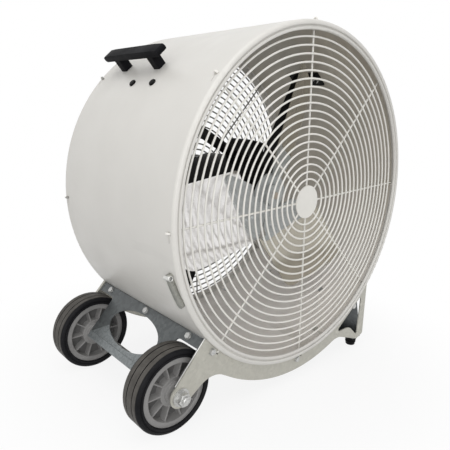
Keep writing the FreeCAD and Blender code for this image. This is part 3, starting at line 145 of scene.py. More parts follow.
class DrumFanFinishes(bpy.types.PropertyGroup):
    """Colours of the fan's finishes."""

    drum_paint: bpy.props.FloatVectorProperty(
        name="Drum paint", description="Off-white powder coat on the drum", subtype="COLOR", size=3,
        min=0.0, max=1.0, default=(0.68, 0.665, 0.63))
    # Painted shade: the inside of the drum is a darker copy of the drum paint
    drum_inside_shade: bpy.props.FloatVectorProperty(
        name="Drum inside", description="Darker copy of the drum paint inside the drum: painted shade", subtype="COLOR", size=3,
        min=0.0, max=1.0, default=(0.57, 0.53, 0.46))
    # Painted light: a paler colour low down in the drum, where light from above falls
    drum_floor_light: bpy.props.FloatVectorProperty(
        name="Drum floor", description="Paler colour low down in the drum: painted light", subtype="COLOR", size=3,
        min=0.0, max=1.0, default=(0.84, 0.80, 0.76))
    guard_paint: bpy.props.FloatVectorProperty(
        name="Guard paint", description="Powder coat on the guard wires", subtype="COLOR", size=3,
        min=0.0, max=1.0, default=(0.80, 0.785, 0.74))
    clip: bpy.props.FloatVectorProperty(
        name="Clip steel", description="Straps of the guard clips", subtype="COLOR", size=3,
        min=0.0, max=1.0, default=(0.25, 0.25, 0.225))
    roll: bpy.props.FloatVectorProperty(
        name="Roll steel", description="Rolled ends of the guard clips", subtype="COLOR", size=3,
        min=0.0, max=1.0, default=(0.62, 0.62, 0.60))
    galvanised: bpy.props.FloatVectorProperty(
        name="Galvanised sheet", description="Zinc-coated cradle panels", subtype="COLOR", size=3,
        min=0.0, max=1.0, default=(0.46, 0.45, 0.40))
    # Painted highlight and painted shadow on the front panel's bent edge
    bent_edge_highlight: bpy.props.FloatVectorProperty(
        name="Bent edge", description="Bright bent edge of the front panel", subtype="COLOR", size=3,
        min=0.0, max=1.0, default=(0.9, 0.9, 0.88))
    bent_edge_shadow: bpy.props.FloatVectorProperty(
        name="Bent edge, back", description="Dark back of that bent edge", subtype="COLOR", size=3,
        min=0.0, max=1.0, default=(0.05, 0.05, 0.05))
    # Painted shade: the wheel bracket, rails and saddles are a much darker copy of the galvanised sheet
    bracket: bpy.props.FloatVectorProperty(
        name="Bracket sheet", description="Galvanised sheet darkened as painted shade on the wheel bracket", subtype="COLOR", size=3,
        min=0.0, max=1.0, default=(0.10, 0.108, 0.11))
    plated: bpy.props.FloatVectorProperty(
        name="Plated steel", description="Zinc plating on fasteners and axle", subtype="COLOR", size=3,
        min=0.0, max=1.0, default=(0.44, 0.44, 0.43))
    rubber: bpy.props.FloatVectorProperty(
        name="Rubber", description="Tyres and feet", subtype="COLOR", size=3,
        min=0.0, max=1.0, default=(0.007, 0.007, 0.008))
    tread: bpy.props.FloatVectorProperty(
        name="Tread", description="Dusty rubber on the tread", subtype="COLOR", size=3,
        min=0.0, max=1.0, default=(0.11, 0.103, 0.094))
    rim: bpy.props.FloatVectorProperty(
        name="Rim plastic", description="Moulded wheel rims", subtype="COLOR", size=3,
        min=0.0, max=1.0, default=(0.26, 0.255, 0.25))
    bush: bpy.props.FloatVectorProperty(
        name="Bush nylon", description="Bushes in the wheels", subtype="COLOR", size=3,
        min=0.0, max=1.0, default=(0.60, 0.60, 0.56))
    black: bpy.props.FloatVectorProperty(
        name="Black plastic", description="Handle, knob and switch box", subtype="COLOR", size=3,
        min=0.0, max=1.0, default=(0.005, 0.005, 0.006))
    motor: bpy.props.FloatVectorProperty(
        name="Motor paint", description="Satin black on the motor and its mount", subtype="COLOR", size=3,
        min=0.0, max=1.0, default=(0.006, 0.006, 0.006))
    blade: bpy.props.FloatVectorProperty(
        name="Blade sheet", description="Pale aluminium blade", subtype="COLOR", size=3,
        min=0.0, max=1.0, default=(0.90, 0.885, 0.875))
    # Painted shade and painted reflection: blades 2 and 3 are a darker tan copy of the blade sheet, for their
    # shade and the dark drum they reflect
    shaded_blade: bpy.props.FloatVectorProperty(
        name="Shaded blade", description="Darker tan copy of the blade sheet: painted shade and reflection", subtype="COLOR", size=3,
        min=0.0, max=1.0, default=(0.56, 0.53, 0.455))
    spider: bpy.props.FloatVectorProperty(
        name="Spider plating", description="Bluish zinc on the blade spider", subtype="COLOR", size=3,
        min=0.0, max=1.0, default=(0.42, 0.44, 0.44))
    turned: bpy.props.FloatVectorProperty(
        name="Turned steel", description="Motor shaft, bearings and set screw", subtype="COLOR", size=3,
        min=0.0, max=1.0, default=(0.45, 0.40, 0.34))


class DrumFanShapes(bpy.types.PropertyGroup):
    """Sizes of the details that are modelled here."""

    tread_groove: bpy.props.FloatProperty(
        name="Tread groove", description="Width and depth of the grooves round a tyre",
        subtype="DISTANCE", unit="LENGTH", default=0.0026)
    shoulder: bpy.props.FloatProperty(
        name="Tyre shoulder", description="Radius from tread to side",
        subtype="DISTANCE", unit="LENGTH", default=0.008)
    side_step: bpy.props.FloatProperty(
        name="Side step", description="Depth of the step round a tyre's side",
        subtype="DISTANCE", unit="LENGTH", default=0.0018)
    roll_wall: bpy.props.FloatProperty(
        name="Roll wall", description="Sheet of a clip's rolled end",
        subtype="DISTANCE", unit="LENGTH", default=0.0016)
    handle_edge: bpy.props.FloatProperty(
        name="Handle edge", description="Rounding of the moulded handle",
        subtype="DISTANCE", unit="LENGTH", default=0.003)
    rim_edge: bpy.props.FloatProperty(
        name="Rim edge", description="Rounding of the moulded rims",
        subtype="DISTANCE", unit="LENGTH", default=0.0009)
    plastic_edge: bpy.props.FloatProperty(
        name="Plastic edge", description="Rounding of feet, knob and switch box",
        subtype="DISTANCE", unit="LENGTH", default=0.0012)
    sheet_edge: bpy.props.FloatProperty(
        name="Sheet edge", description="Rounding of cut sheet edges",
        subtype="DISTANCE", unit="LENGTH", default=0.0005)


class DrumFanStage(bpy.types.PropertyGroup):
    """Camera, light and floor."""

    camera_offset: bpy.props.FloatVectorProperty(
        name="Camera offset", description="Camera's place from the middle of the front guard",
        subtype="TRANSLATION", unit="LENGTH", size=3, default=(-0.8126, -0.6234, 0.1722))
    camera_heading: bpy.props.FloatProperty(
        name="Heading", description="Turn of the view from +Y towards +X",
        subtype="ANGLE", unit="ROTATION", default=math.radians(42.62))
    camera_dip: bpy.props.FloatProperty(
        name="Dip", description="How far the view looks down",
        subtype="ANGLE", unit="ROTATION", default=math.radians(12.96))
    camera_roll: bpy.props.FloatProperty(
        name="Roll", description="Turn of the picture",
        subtype="ANGLE", unit="ROTATION", default=math.radians(2.73))
    camera_lens: bpy.props.FloatProperty(
        name="Lens", description="Focal length on a 36 mm sensor", subtype="DISTANCE_CAMERA", default=37.64)
    key_offset: bpy.props.FloatVectorProperty(
        name="Key offset", description="Overhead soft box's place from the middle of the drum",
        subtype="TRANSLATION", unit="LENGTH", size=3, default=(-0.9, -0.7, 2.1))
    key_size: bpy.props.FloatProperty(
        name="Key size", description="Width of the overhead soft box",
        subtype="DISTANCE", unit="LENGTH", default=2.2)
    key_power: bpy.props.FloatProperty(
        name="Key power", description="Strength of the overhead soft box",
        subtype="POWER", unit="POWER", default=22.0)
    fill_offset: bpy.props.FloatVectorProperty(
        name="Fill offset", description="Left soft box's place from the middle of the drum",
        subtype="TRANSLATION", unit="LENGTH", size=3, default=(-1.7, -2.0, 0.6))
    fill_size: bpy.props.FloatProperty(
        name="Fill size", description="Width of the left soft box",
        subtype="DISTANCE", unit="LENGTH", default=1.2)
    fill_power: bpy.props.FloatProperty(
        name="Fill power", description="Strength of the left soft box",
        subtype="POWER", unit="POWER", default=18.0)
    sky_strength: bpy.props.FloatProperty(
        name="Sky strength", description="Even light from all round", default=0.58)
    floor_shade: bpy.props.FloatProperty(
        name="Floor shade", description="Grey level of the floor",
        subtype="FACTOR", min=0.0, max=1.0, default=0.75)


def finishes():
    """The finish settings of the scene."""
    return bpy.context.scene.drum_fan_finishes


def shapes():
    """The shape settings of the scene."""
    return bpy.context.scene.drum_fan_shapes


def stage_settings():
    """The stage settings of the scene."""
    return bpy.context.scene.drum_fan_stage


def scaled(color, factor):
    """A colour made lighter or darker."""
    return tuple(min(1.0, channel * factor) for channel in color)


def shader_group(name, inputs, outputs):
    """An empty shader node group with named sockets; each input is (name, kind, default)."""
    group = bpy.data.node_groups.new(name, "ShaderNodeTree")
    for label, kind, default in inputs:
        socket = group.interface.new_socket(name=label, in_out="INPUT", socket_type=kind)
        socket.default_value = default
    for label, kind in outputs:
        group.interface.new_socket(name=label, in_out="OUTPUT", socket_type=kind)
    return group, group.nodes.new("NodeGroupInput"), group.nodes.new("NodeGroupOutput")


def noise_node(tree, place, detail):
    """A noise that is read at a place."""
    noise = tree.nodes.new("ShaderNodeTexNoise")
    noise.inputs["Detail"].default_value = detail
    tree.links.new(place, noise.inputs["Vector"])
    return noise


def range_node(tree, value, start, end, smooth=False):
    """Map a value so that start becomes 0 and end becomes 1."""
    spread = tree.nodes.new("ShaderNodeMapRange")
    if smooth:
        spread.interpolation_type = "SMOOTHSTEP"
    spread.inputs["From Min"].default_value = start
    spread.inputs["From Max"].default_value = end
    tree.links.new(value, spread.inputs["Value"])
    return spread


def combined(tree, operation, first, second):
    """The result of a math step on two values."""
    step = tree.nodes.new("ShaderNodeMath")
    step.operation = operation
    tree.links.new(first, step.inputs[0])
    tree.links.new(second, step.inputs[1])
    return step.outputs[0]


def mixed_colors(tree, factor, first, second):
    """Two colours mixed by a factor."""
    blend = tree.nodes.new("ShaderNodeMix")
    blend.data_type = "RGBA"
    tree.links.new(factor, blend.inputs["Factor"])
    tree.links.new(first, blend.inputs["A"])
    tree.links.new(second, blend.inputs["B"])
    return blend.outputs["Result"]


def mixed_shaders(tree, factor, first, second):
    """Two shaders mixed by a factor."""
    blend = tree.nodes.new("ShaderNodeMixShader")
    tree.links.new(factor, blend.inputs["Fac"])
    tree.links.new(first, blend.inputs[1])
    tree.links.new(second, blend.inputs[2])
    return blend.outputs[0]


def object_place(tree):
    """The place on the object."""
    return tree.nodes.new("ShaderNodeTexCoord").outputs["Object"]


def cloud_group():
    """Soft uneven tone: two colours mixed by a slow noise."""
    if "Uneven tone" in bpy.data.node_groups:
        return bpy.data.node_groups["Uneven tone"]
    group, source, result = shader_group(
        "Uneven tone",
        [("Light", "NodeSocketColor", (1, 1, 1, 1)), ("Dark", "NodeSocketColor", (0, 0, 0, 1)),
         ("Scale", "NodeSocketFloat", 4.0), ("Contrast", "NodeSocketFloat", 1.0)],
        [("Color", "NodeSocketColor")])
    noise = noise_node(group, object_place(group), detail=6.0)
    noise.inputs["Roughness"].default_value = 0.6
    group.links.new(source.outputs["Scale"], noise.inputs["Scale"])
    spread = range_node(group, noise.outputs["Fac"], start=0.3, end=0.7, smooth=True)
    strength = combined(group, "MULTIPLY", spread.outputs["Result"], source.outputs["Contrast"])
    tone = mixed_colors(group, strength, source.outputs["Light"], source.outputs["Dark"])
    group.links.new(tone, result.inputs["Color"])
    return group


def grain_group():
    """Fine relief: a small noise for bump and a slower one for roughness."""
    if "Fine grain" in bpy.data.node_groups:
        return bpy.data.node_groups["Fine grain"]
    group, source, result = shader_group(
        "Fine grain",
        [("Scale", "NodeSocketFloat", 600.0), ("Smooth", "NodeSocketFloat", 0.3),
         ("Rough", "NodeSocketFloat", 0.5)],
        [("Height", "NodeSocketFloat"), ("Roughness", "NodeSocketFloat")])
    place = object_place(group)
    fine = noise_node(group, place, detail=3.0)
    slow = noise_node(group, place, detail=4.0)
    slow.inputs["Scale"].default_value = 14.0
    spread = range_node(group, slow.outputs["Fac"], start=0.3, end=0.7)
    link = group.links.new
    link(source.outputs["Scale"], fine.inputs["Scale"])
    link(source.outputs["Smooth"], spread.inputs["To Min"])
    link(source.outputs["Rough"], spread.inputs["To Max"])
    link(fine.outputs["Fac"], result.inputs["Height"])
    link(spread.outputs["Result"], result.inputs["Roughness"])
    return group


def spangle_group():
    """Zinc crystals on galvanised sheet: cells of slightly different brightness."""
    if "Zinc spangle" in bpy.data.node_groups:
        return bpy.data.node_groups["Zinc spangle"]
    group, source, result = shader_group(
        "Zinc spangle",
        [("Color", "NodeSocketColor", (0.5, 0.5, 0.5, 1)), ("Bright", "NodeSocketColor", (0.6, 0.6, 0.6, 1)),
         ("Scale", "NodeSocketFloat", 90.0)],
        [("Color", "NodeSocketColor"), ("Roughness", "NodeSocketFloat"), ("Height", "NodeSocketFloat")])
    place = object_place(group)
    warp = noise_node(group, place, detail=3.0)
    warp.inputs["Scale"].default_value = 35.0
    shift = group.nodes.new("ShaderNodeMix")
    shift.data_type = "VECTOR"
    shift.inputs["Factor"].default_value = 0.02
    cells = group.nodes.new("ShaderNodeTexVoronoi")
    value = group.nodes.new("ShaderNodeSeparateColor")
    dull = range_node(group, value.outputs["Green"], start=0.0, end=1.0)
    dull.inputs["To Min"].default_value = 0.34
    dull.inputs["To Max"].default_value = 0.52
    tone = mixed_colors(group, value.outputs["Red"], source.outputs["Color"], source.outputs["Bright"])
    link = group.links.new
    link(place, shift.inputs["A"])
    link(warp.outputs["Color"], shift.inputs["B"])
    link(shift.outputs["Result"], cells.inputs["Vector"])
    link(source.outputs["Scale"], cells.inputs["Scale"])
    link(cells.outputs["Color"], value.inputs["Color"])
    link(tone, result.inputs["Color"])
    link(dull.outputs["Result"], result.inputs["Roughness"])
    link(value.outputs["Blue"], result.inputs["Height"])
    return group


def scuff_group():
    """Thin stray marks: a stretched noise cut to a narrow band, kept to patches."""
    if "Scuff marks" in bpy.data.node_groups:
        return bpy.data.node_groups["Scuff marks"]
    group, source, result = shader_group(
        "Scuff marks",
        [("Color", "NodeSocketColor", (0.5, 0.5, 0.5, 1)), ("Mark", "NodeSocketColor", (0.3, 0.3, 0.3, 1)),
         ("Scale", "NodeSocketFloat", 12.0), ("Amount", "NodeSocketFloat", 0.4)],
        [("Color", "NodeSocketColor")])
    place = object_place(group)
    stretch = group.nodes.new("ShaderNodeMapping")
    stretch.inputs["Rotation"].default_value = (0.5, 0.3, 0.4)
    stretch.inputs["Scale"].default_value = (1.0, 0.16, 1.0)
    group.links.new(place, stretch.inputs["Vector"])
    lines = noise_node(group, stretch.outputs["Vector"], detail=5.0)
    group.links.new(source.outputs["Scale"], lines.inputs["Scale"])
    patches = group.nodes.new("ShaderNodeTexNoise")
    patches.inputs["Scale"].default_value = 5.0
    group.links.new(place, patches.inputs["Vector"])
    band = range_node(group, lines.outputs["Fac"], start=0.635, end=0.66)
    area = range_node(group, patches.outputs["Fac"], start=0.45, end=0.65)
    both = combined(group, "MULTIPLY", band.outputs["Result"], area.outputs["Result"])
    strength = combined(group, "MULTIPLY", both, source.outputs["Amount"])
    marked = mixed_colors(group, strength, source.outputs["Color"], source.outputs["Mark"])
    group.links.new(marked, result.inputs["Color"])
    return group


def blank_material(name):
    """A material, its node tree and its shader."""
    material = bpy.data.materials.new(name)
    material.use_nodes = True
    tree = material.node_tree
    return material, tree, tree.nodes["Principled BSDF"]


def add_group(tree, group, **values):
    """Place a shader group in a material and set its inputs."""
    node = tree.nodes.new("ShaderNodeGroup")
    node.node_tree = group
    for label, value in values.items():
        node.inputs[label].default_value = value
    return node


def add_tone(tree, color, dark, scale, contrast):
    """An uneven tone between a colour and its darker or lighter shade."""
    shade = scaled(color, dark)
    tone = add_group(tree, cloud_group(), Light=(*color, 1), Dark=(*shade, 1), Scale=scale, Contrast=contrast)
    return tone.outputs["Color"]


def add_spangle(tree, color, bright, scale):
    """Zinc crystals of a colour and its brighter shade."""
    return add_group(tree, spangle_group(), Color=(*color, 1), Bright=(*scaled(color, bright), 1), Scale=scale)


def add_scuffs(tree, color, mark, scale, amount):
    """Stray marks over a colour."""
    marks = add_group(tree, scuff_group(), Mark=(*mark, 1), Scale=scale, Amount=amount)
    tree.links.new(color, marks.inputs["Color"])
    return marks.outputs["Color"]


def finish_shader(tree, shader, color, texture, relief, depth):
    """Give a shader its colour, and the roughness and relief of a texture group."""
    bump = tree.nodes.new("ShaderNodeBump")
    bump.inputs["Strength"].default_value = relief
    bump.inputs["Distance"].default_value = depth
    link = tree.links.new
    link(color, shader.inputs["Base Color"])
    link(texture.outputs["Roughness"], shader.inputs["Roughness"])
    link(texture.outputs["Height"], bump.inputs["Height"])
    link(bump.outputs["Normal"], shader.inputs["Normal"])


def coated_material(name, color, dark, scale, contrast, grain, smooth, rough, relief, shine=0.5, marks=0.0):
    """Paint, plastic or rubber: an uneven tone with a fine grain and stray marks."""
    material, tree, shader = blank_material(name)
    shader.inputs["Specular IOR Level"].default_value = shine
    tone = add_tone(tree, color, dark, scale, contrast)
    texture = add_group(tree, grain_group(), Scale=grain, Smooth=smooth, Rough=rough)
    mark = scaled(color, MARK_ON_PALE if sum(color) > PALE_SUM else MARK_ON_DARK)
    marked = add_scuffs(tree, tone, mark, PAINT_MARK_SCALE, marks)
    finish_shader(tree, shader, marked, texture, relief, GRAIN_DEPTH)
    return material


def zinc_material(name, color, bright, scale, metallic, marks=0.3):
    """Galvanised or plated metal with its spangle and handling marks."""
    material, tree, shader = blank_material(name)
    shader.inputs["Metallic"].default_value = metallic
    cells = add_spangle(tree, color, bright, scale)
    marked = add_scuffs(tree, cells.outputs["Color"], scaled(color, MARK_ON_ZINC), ZINC_MARK_SCALE, marks)
    finish_shader(tree, shader, marked, cells, SPANGLE_RELIEF, SPANGLE_DEPTH)
    return material


def blade_material(name, color, metallic, smooth, rough):
    """Bright rolled sheet that is a little wavy, so that the guard's wires reflect as bent lines."""
    material, tree, shader = blank_material(name)
    shader.inputs["Metallic"].default_value = metallic
    tone = add_tone(tree, color, dark=0.93, scale=9.0, contrast=0.7)
    texture = add_group(tree, grain_group(), Scale=WAVE_SCALE, Smooth=smooth, Rough=rough)
    marked = add_scuffs(tree, tone, scaled(color, MARK_ON_BLADE), PAINT_MARK_SCALE, amount=0.3)
    finish_shader(tree, shader, marked, texture, WAVE_RELIEF, WAVE_DEPTH)
    return material


def tyre_material(color, tread, radius):
    """Black rubber whose tread, the part near the full radius, is dusty."""
    material, tree, shader = blank_material("tyre rubber")
    shader.inputs["Specular IOR Level"].default_value = 0.1
    centre = tree.nodes.new("ShaderNodeMapping")
    centre.inputs["Location"].default_value = (-axle_point.x, 0.0, -axle_point.z)
    flat = tree.nodes.new("ShaderNodeVectorMath")
    flat.operation = "MULTIPLY"
    flat.inputs[1].default_value = (1.0, 0.0, 1.0)
    reach = tree.nodes.new("ShaderNodeVectorMath")
    reach.operation = "LENGTH"
    tree.links.new(object_place(tree), centre.inputs["Vector"])
    tree.links.new(centre.outputs["Vector"], flat.inputs[0])
    tree.links.new(flat.outputs["Vector"], reach.inputs[0])
    dust_and_shade = range_node(tree, reach.outputs["Value"], radius - TREAD_DUST_START, radius - TREAD_DUST_FULL)
    worn = add_tone(tree, tread, dark=0.6, scale=45.0, contrast=0.8)
    side = add_tone(tree, color, dark=2.2, scale=25.0, contrast=0.7)
    texture = add_group(tree, grain_group(), Scale=420.0, Smooth=0.42, Rough=0.7)
    shade = mixed_colors(tree, dust_and_shade.outputs["Result"], side, worn)
    finish_shader(tree, shader, shade, texture, relief=0.3, depth=GRAIN_DEPTH)
    return material


def position_mask(tree, direction, start, end):
    """A value that goes from 0 to 1 between two distances along a direction."""
    along = tree.nodes.new("ShaderNodeVectorMath")
    along.operation = "DOT_PRODUCT"
    along.inputs[1].default_value = direction
    tree.links.new(object_place(tree), along.inputs[0])
    return range_node(tree, along.outputs["Value"], start, end, smooth=True).outputs["Result"]


def blend_color(tree, mask, color, other):
    """Mix a linked colour with a plain one by a mask."""
    blend = tree.nodes.new("ShaderNodeMix")
    blend.data_type = "RGBA"
    blend.inputs["B"].default_value = (*other, 1)
    tree.links.new(mask, blend.inputs["Factor"])
    tree.links.new(color, blend.inputs["A"])
    return blend.outputs["Result"]


def shaded_inside_material(color, lit_low_color, paint, depth):
    """Darker copy of the drum paint inside the drum as painted shade, paler low down as painted light, and
    painted like the outside beside the two lips.
    """
    material, tree, shader = blank_material("drum inside painted shade and light")
    shade = add_tone(tree, color, dark=0.85, scale=4.0, contrast=0.8)
    texture = add_group(tree, grain_group(), Scale=900.0, Smooth=0.4, Rough=0.55)
    low = position_mask(tree, (0, 0, -1), -drum_axis.z - FLOOR_LIGHT_ABOVE_AXIS, -drum_axis.z + FLOOR_LIGHT_BELOW_AXIS)
    shade = blend_color(tree, low, shade, lit_low_color)
    for outward in ((0, -1, 0), (0, 1, 0)):
        beside_lip = position_mask(tree, outward, depth - PAINT_FADE, depth)
        shade = blend_color(tree, beside_lip, shade, paint)
    marked = add_scuffs(tree, shade, scaled(color, MARK_INSIDE), PAINT_MARK_SCALE, amount=0.25)
    finish_shader(tree, shader, marked, texture, relief=0.1, depth=GRAIN_DEPTH)
    return material


def painted_bent_edge_material(color, dark, edge):
    """Bent edge of the front panel: bright at the front as a painted highlight, darker towards its back as a
    painted shadow.
    """
    material, tree, shader = blank_material("bent panel edge painted highlight and shadow")
    shader.inputs["Metallic"].default_value = 0.4
    cells = add_spangle(tree, color, bright=1.1, scale=300.0)
    shadow_mask = position_mask(tree, (0, 1, 0), edge + BENT_HIGHLIGHT_END, edge + BENT_SHADOW_FULL)
    shade = blend_color(tree, shadow_mask, cells.outputs["Color"], dark)
    finish_shader(tree, shader, shade, cells, SPANGLE_RELIEF, SPANGLE_DEPTH)
    return material


def dress(material, *names):
    """Give CAD nodes a material."""
    for name in names:
        piece = nodes[name]
        piece.data.materials.clear()
        piece.data.materials.append(material)


def dress_faces(piece, material, chosen):
    """Give the faces of a piece that a test chooses one more material."""
    mesh = piece.data
    mesh.materials.append(material)
    for face in mesh.polygons:
        if chosen(face):
            face.material_index = len(mesh.materials) - 1


def add_piece(name, shape, material, body, slot, *replaced):
    """Turn a bmesh into a piece that rides on a body and stands for CAD nodes."""
    bmesh.ops.recalc_face_normals(shape, faces=shape.faces)
    mesh = bpy.data.meshes.new(name)
    shape.to_mesh(mesh)
    shape.free()
    mesh.shade_smooth()
    mesh.set_sharp_from_angle(angle=SHARP_ANGLE)
    mesh.materials.append(material)
    piece = bpy.data.objects.new(name, mesh)
    bpy.context.scene.collection.objects.link(piece)
    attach(piece, body)
    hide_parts(*replaced)
    return piece


def softened(name, node, width, segments, material, body, slot):
    """A copy of a CAD node with its sharp edges rounded, standing for the node."""
    shape = bmesh.new()
    shape.from_mesh(nodes[node].data)
    bmesh.ops.remove_doubles(shape, verts=shape.verts, dist=MERGE_DISTANCE)
    bmesh.ops.dissolve_limit(shape, angle_limit=FLAT_ANGLE, verts=shape.verts, edges=shape.edges)
    sharp = [edge for edge in shape.edges if edge.is_manifold and edge.calc_face_angle() > SHARP_ANGLE]
    bmesh.ops.bevel(shape, geom=sharp, offset=width, offset_type="OFFSET", affect="EDGES", segments=segments,
                    profile=0.5, clamp_overlap=True, material=-1)
    return add_piece(name, shape, material, body, slot, node)


def lathe(shape, profile, centre, axis, across):
    """Spin a closed profile of (radius, offset) points round an axis through a centre."""
    rim = [shape.verts.new(centre + across * radius + axis * offset) for radius, offset in profile]
    edges = [shape.edges.new((rim[index - 1], rim[index])) for index in range(len(rim))]
    bmesh.ops.spin(shape, geom=rim + edges, cent=centre, axis=axis, angle=math.tau, steps=LATHE_STEPS,
                   use_merge=True)
    bmesh.ops.remove_doubles(shape, verts=shape.verts, dist=MERGE_DISTANCE)


def with_mirror(profile):
    """A profile followed by its mirror image across the middle."""
    return profile + [(radius, -offset) for radius, offset in reversed(profile)]


def arc(radius, offset, size, start, end, steps):
    """Points of a round corner in a lathe profile."""
    turns = [start + (end - start) * index / steps for index in range(steps + 1)]
    return [(radius + size * math.cos(turn), offset + size * math.sin(turn)) for turn in turns]


def tyre_profile(bore, radius, half):
    """Half of a tyre's section, from its bead to the tread: stepped side, shoulder and groove."""
    sizes = shapes()
    step = sizes.side_step
    shoulder = sizes.shoulder
    groove = sizes.tread_groove
    ditch_at = half / 3
    corner = radius - shoulder
    ridge_end = bore + RIDGE_WIDTH * step
    bead = [(bore, -half + 2 * step), (bore + step / 2, -half + step / 2), (bore + step, -half)]
    side = [(ridge_end, -half), (ridge_end + RIDGE_SLOPE * step, -half + step)]
    side += [(corner - step / 2, -half + step), (corner, -half + step / 2)]
    turn = arc(corner, -half + step / 2 + shoulder, shoulder, -math.pi / 2, 0.0, SHOULDER_STEPS)
    ditch = [(radius, -ditch_at - groove / 2), (radius - groove, -ditch_at - groove / 3)]
    ditch += [(radius - groove, -ditch_at + groove / 3), (radius, -ditch_at + groove / 2)]
    return bead + side + turn[1:] + ditch


def mean(places):
    """The middle of some places."""
    return sum(places, Vector()) / len(places)


def roll_measures(places):
    """Centre, axis, half length and radius of a clip's rolled end, from its corners."""
    centre = mean(places)
    front = mean([place for place in places if place.y < centre.y])
    back = mean([place for place in places if place.y >= centre.y])
    axis = (back - front).normalized()
    offsets = [place - centre for place in places]
    half = max(abs(offset.dot(axis)) for offset in offsets)
    radius = max((offset - axis * offset.dot(axis)).length for offset in offsets)
    return centre, axis, half, radius


class DRUMFAN_OT_drum_finish(bpy.types.Operator):
    """Powder coat on the drum and the wire guards"""

    bl_idname = "drumfan.drum_finish"
    bl_label = "Drum and guards"

    def execute(self, context):
        colors = finishes()
        paint = tuple(colors.drum_paint)
        wire_paint = tuple(colors.guard_paint)
        coat = coated_material("drum powder coat", paint, dark=0.94, scale=3.5, contrast=0.8, grain=900.0,
                               smooth=0.34, rough=0.48, relief=0.10, marks=0.18)
        wire = coated_material("guard powder coat", wire_paint, dark=0.93, scale=20.0, contrast=0.7,
                               grain=1200.0, smooth=0.30, rough=0.45, relief=0.12)
        # Painted shade: a darker copy of the guard paint for the rear wires' faces that look into the drum
        dust_and_shade = coated_material("rear guard wire painted shade", scaled(wire_paint, REAR_WIRE_PAINTED_SHADE), dark=0.8, scale=20.0,
                                contrast=0.7, grain=1200.0, smooth=0.5, rough=0.65, relief=0.12)
        dress(coat, "drum_housing")
        low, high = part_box("drum_housing")
        wall_radius = (high.x - low.x) / 2
        depth = (high.y - low.y) / 2 - LIP_DEPTH
        # Painted shade on the drum's inside faces, with painted light low down
        dull = shaded_inside_material(tuple(colors.drum_inside_shade), tuple(colors.drum_floor_light), paint, depth)

        def inside(face):
            out = face.center - drum_axis
            out.y = 0.0
            return face.normal.dot(out) < 0.0 and abs(face.center.y) < depth and out.length < wall_radius

        dress_faces(nodes["drum_housing"], dull, inside)
        for end in ("front", "rear"):
            dress(wire, end + "_guard_rings", end + "_guard_spokes", end + "_guard_hub_plate")
        # the rear guard's faces that look into the drum take that painted shade
        for name in ("rear_guard_rings", "rear_guard_spokes"):
            dress_faces(nodes[name], dust_and_shade, lambda face: face.normal.y < -WIRE_FACING)
        return {"FINISHED"}


class DRUMFAN_OT_guard_clips(bpy.types.Operator):
    """Spring clips beside the front lip, with open rolled ends"""

    bl_idname = "drumfan.guard_clips"
    bl_label = "Guard clips"

    def execute(self, context):
        colors = finishes()
        sizes = shapes()
        strap = zinc_material("clip steel", tuple(colors.clip), bright=1.3, scale=260.0, metallic=0.7)
        chrome = zinc_material("roll steel", tuple(colors.roll), bright=1.15, scale=500.0, metallic=0.95)
        softened("guard_clip_straps", "guard_clips", sizes.sheet_edge, EDGE_SEGMENTS, strap,
                 "frame", "galvanised")
        shape = bmesh.new()
        corners = [vertex.co for vertex in nodes["guard_clip_rolls"].data.vertices]
        edge = sizes.roll_wall / 3
        for side in (-1, 1):
            own = [place for place in corners if (place.x - drum_axis.x) * side > 0]
            centre, axis, half, radius = roll_measures(own)
            bore = radius - sizes.roll_wall
            end = [(bore, -half + edge), (bore + edge, -half), (radius - edge, -half), (radius, -half + edge)]
            lathe(shape, with_mirror(end), centre, axis, axis.orthogonal().normalized())
        add_piece("guard_clip_ends", shape, chrome, "frame", "chrome", "guard_clip_rolls")
        return {"FINISHED"}


class DRUMFAN_OT_cradle_finish(bpy.types.Operator):
    """Galvanised sheet and plated fasteners of the cradle"""

    bl_idname = "drumfan.cradle_finish"
    bl_label = "Cradle"

    def execute(self, context):
        colors = finishes()
        zinc = tuple(colors.bracket)
        panel = zinc_material("galvanised panel", tuple(colors.galvanised), bright=1.1, scale=160.0,
                              metallic=0.45)
        # Painted shade: a darker copy of the galvanised sheet for the bracket, rails and saddles
        bracket = zinc_material("galvanised bracket painted shade", zinc, bright=1.35, scale=130.0, metallic=0.45, marks=0.5)
        # Painted light: the hem is lighter than the bracket where light from above falls on it; its dense
        # marks are real scratches
        hem = zinc_material("scratched hem painted light", scaled(zinc, HEM_PAINTED_LIGHT), bright=1.5, scale=300.0, metallic=0.45,
                            marks=0.9)
        plated = zinc_material("zinc plated fastener", tuple(colors.plated), bright=1.4, scale=400.0,
                               metallic=0.85)
        panel_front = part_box("front_panel")[0].y
        # Painted highlight at the front of the panel's bent edge, painted shadow behind it
        bent = painted_bent_edge_material(tuple(colors.bent_edge_highlight), tuple(colors.bent_edge_shadow), panel_front)
        hem_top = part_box("wheel_bracket")[0].z + HEM_HEIGHT

        def on_bent_edge(face):
            return face.normal.x < -BENT_FACING and face.area > BENT_AREA

        def on_hem(face):
            return face.center.z < hem_top and abs(face.normal.y) < HEM_FACING

        dress(panel, "front_panel", "rear_panel")
        dress(bracket, "wheel_bracket", "foot_bracket", "wheel_side_rail", "foot_side_rail")
        dress(bracket, "front_saddle", "rear_saddle")
        dress(plated, "axle_washers", "axle_nuts", "axle", "axle_spacers", "wheel_bracket_bolts", "base_nuts")
        dress(plated, "panel_bolts", "cradle_bolts", "foot_screws")
        dress(plated, "handle_screws", "switch_screws", "motor_mount_nuts")
        dress_faces(nodes["front_panel"], bent, on_bent_edge)
        dress_faces(nodes["wheel_bracket"], hem, on_hem)
        return {"FINISHED"}


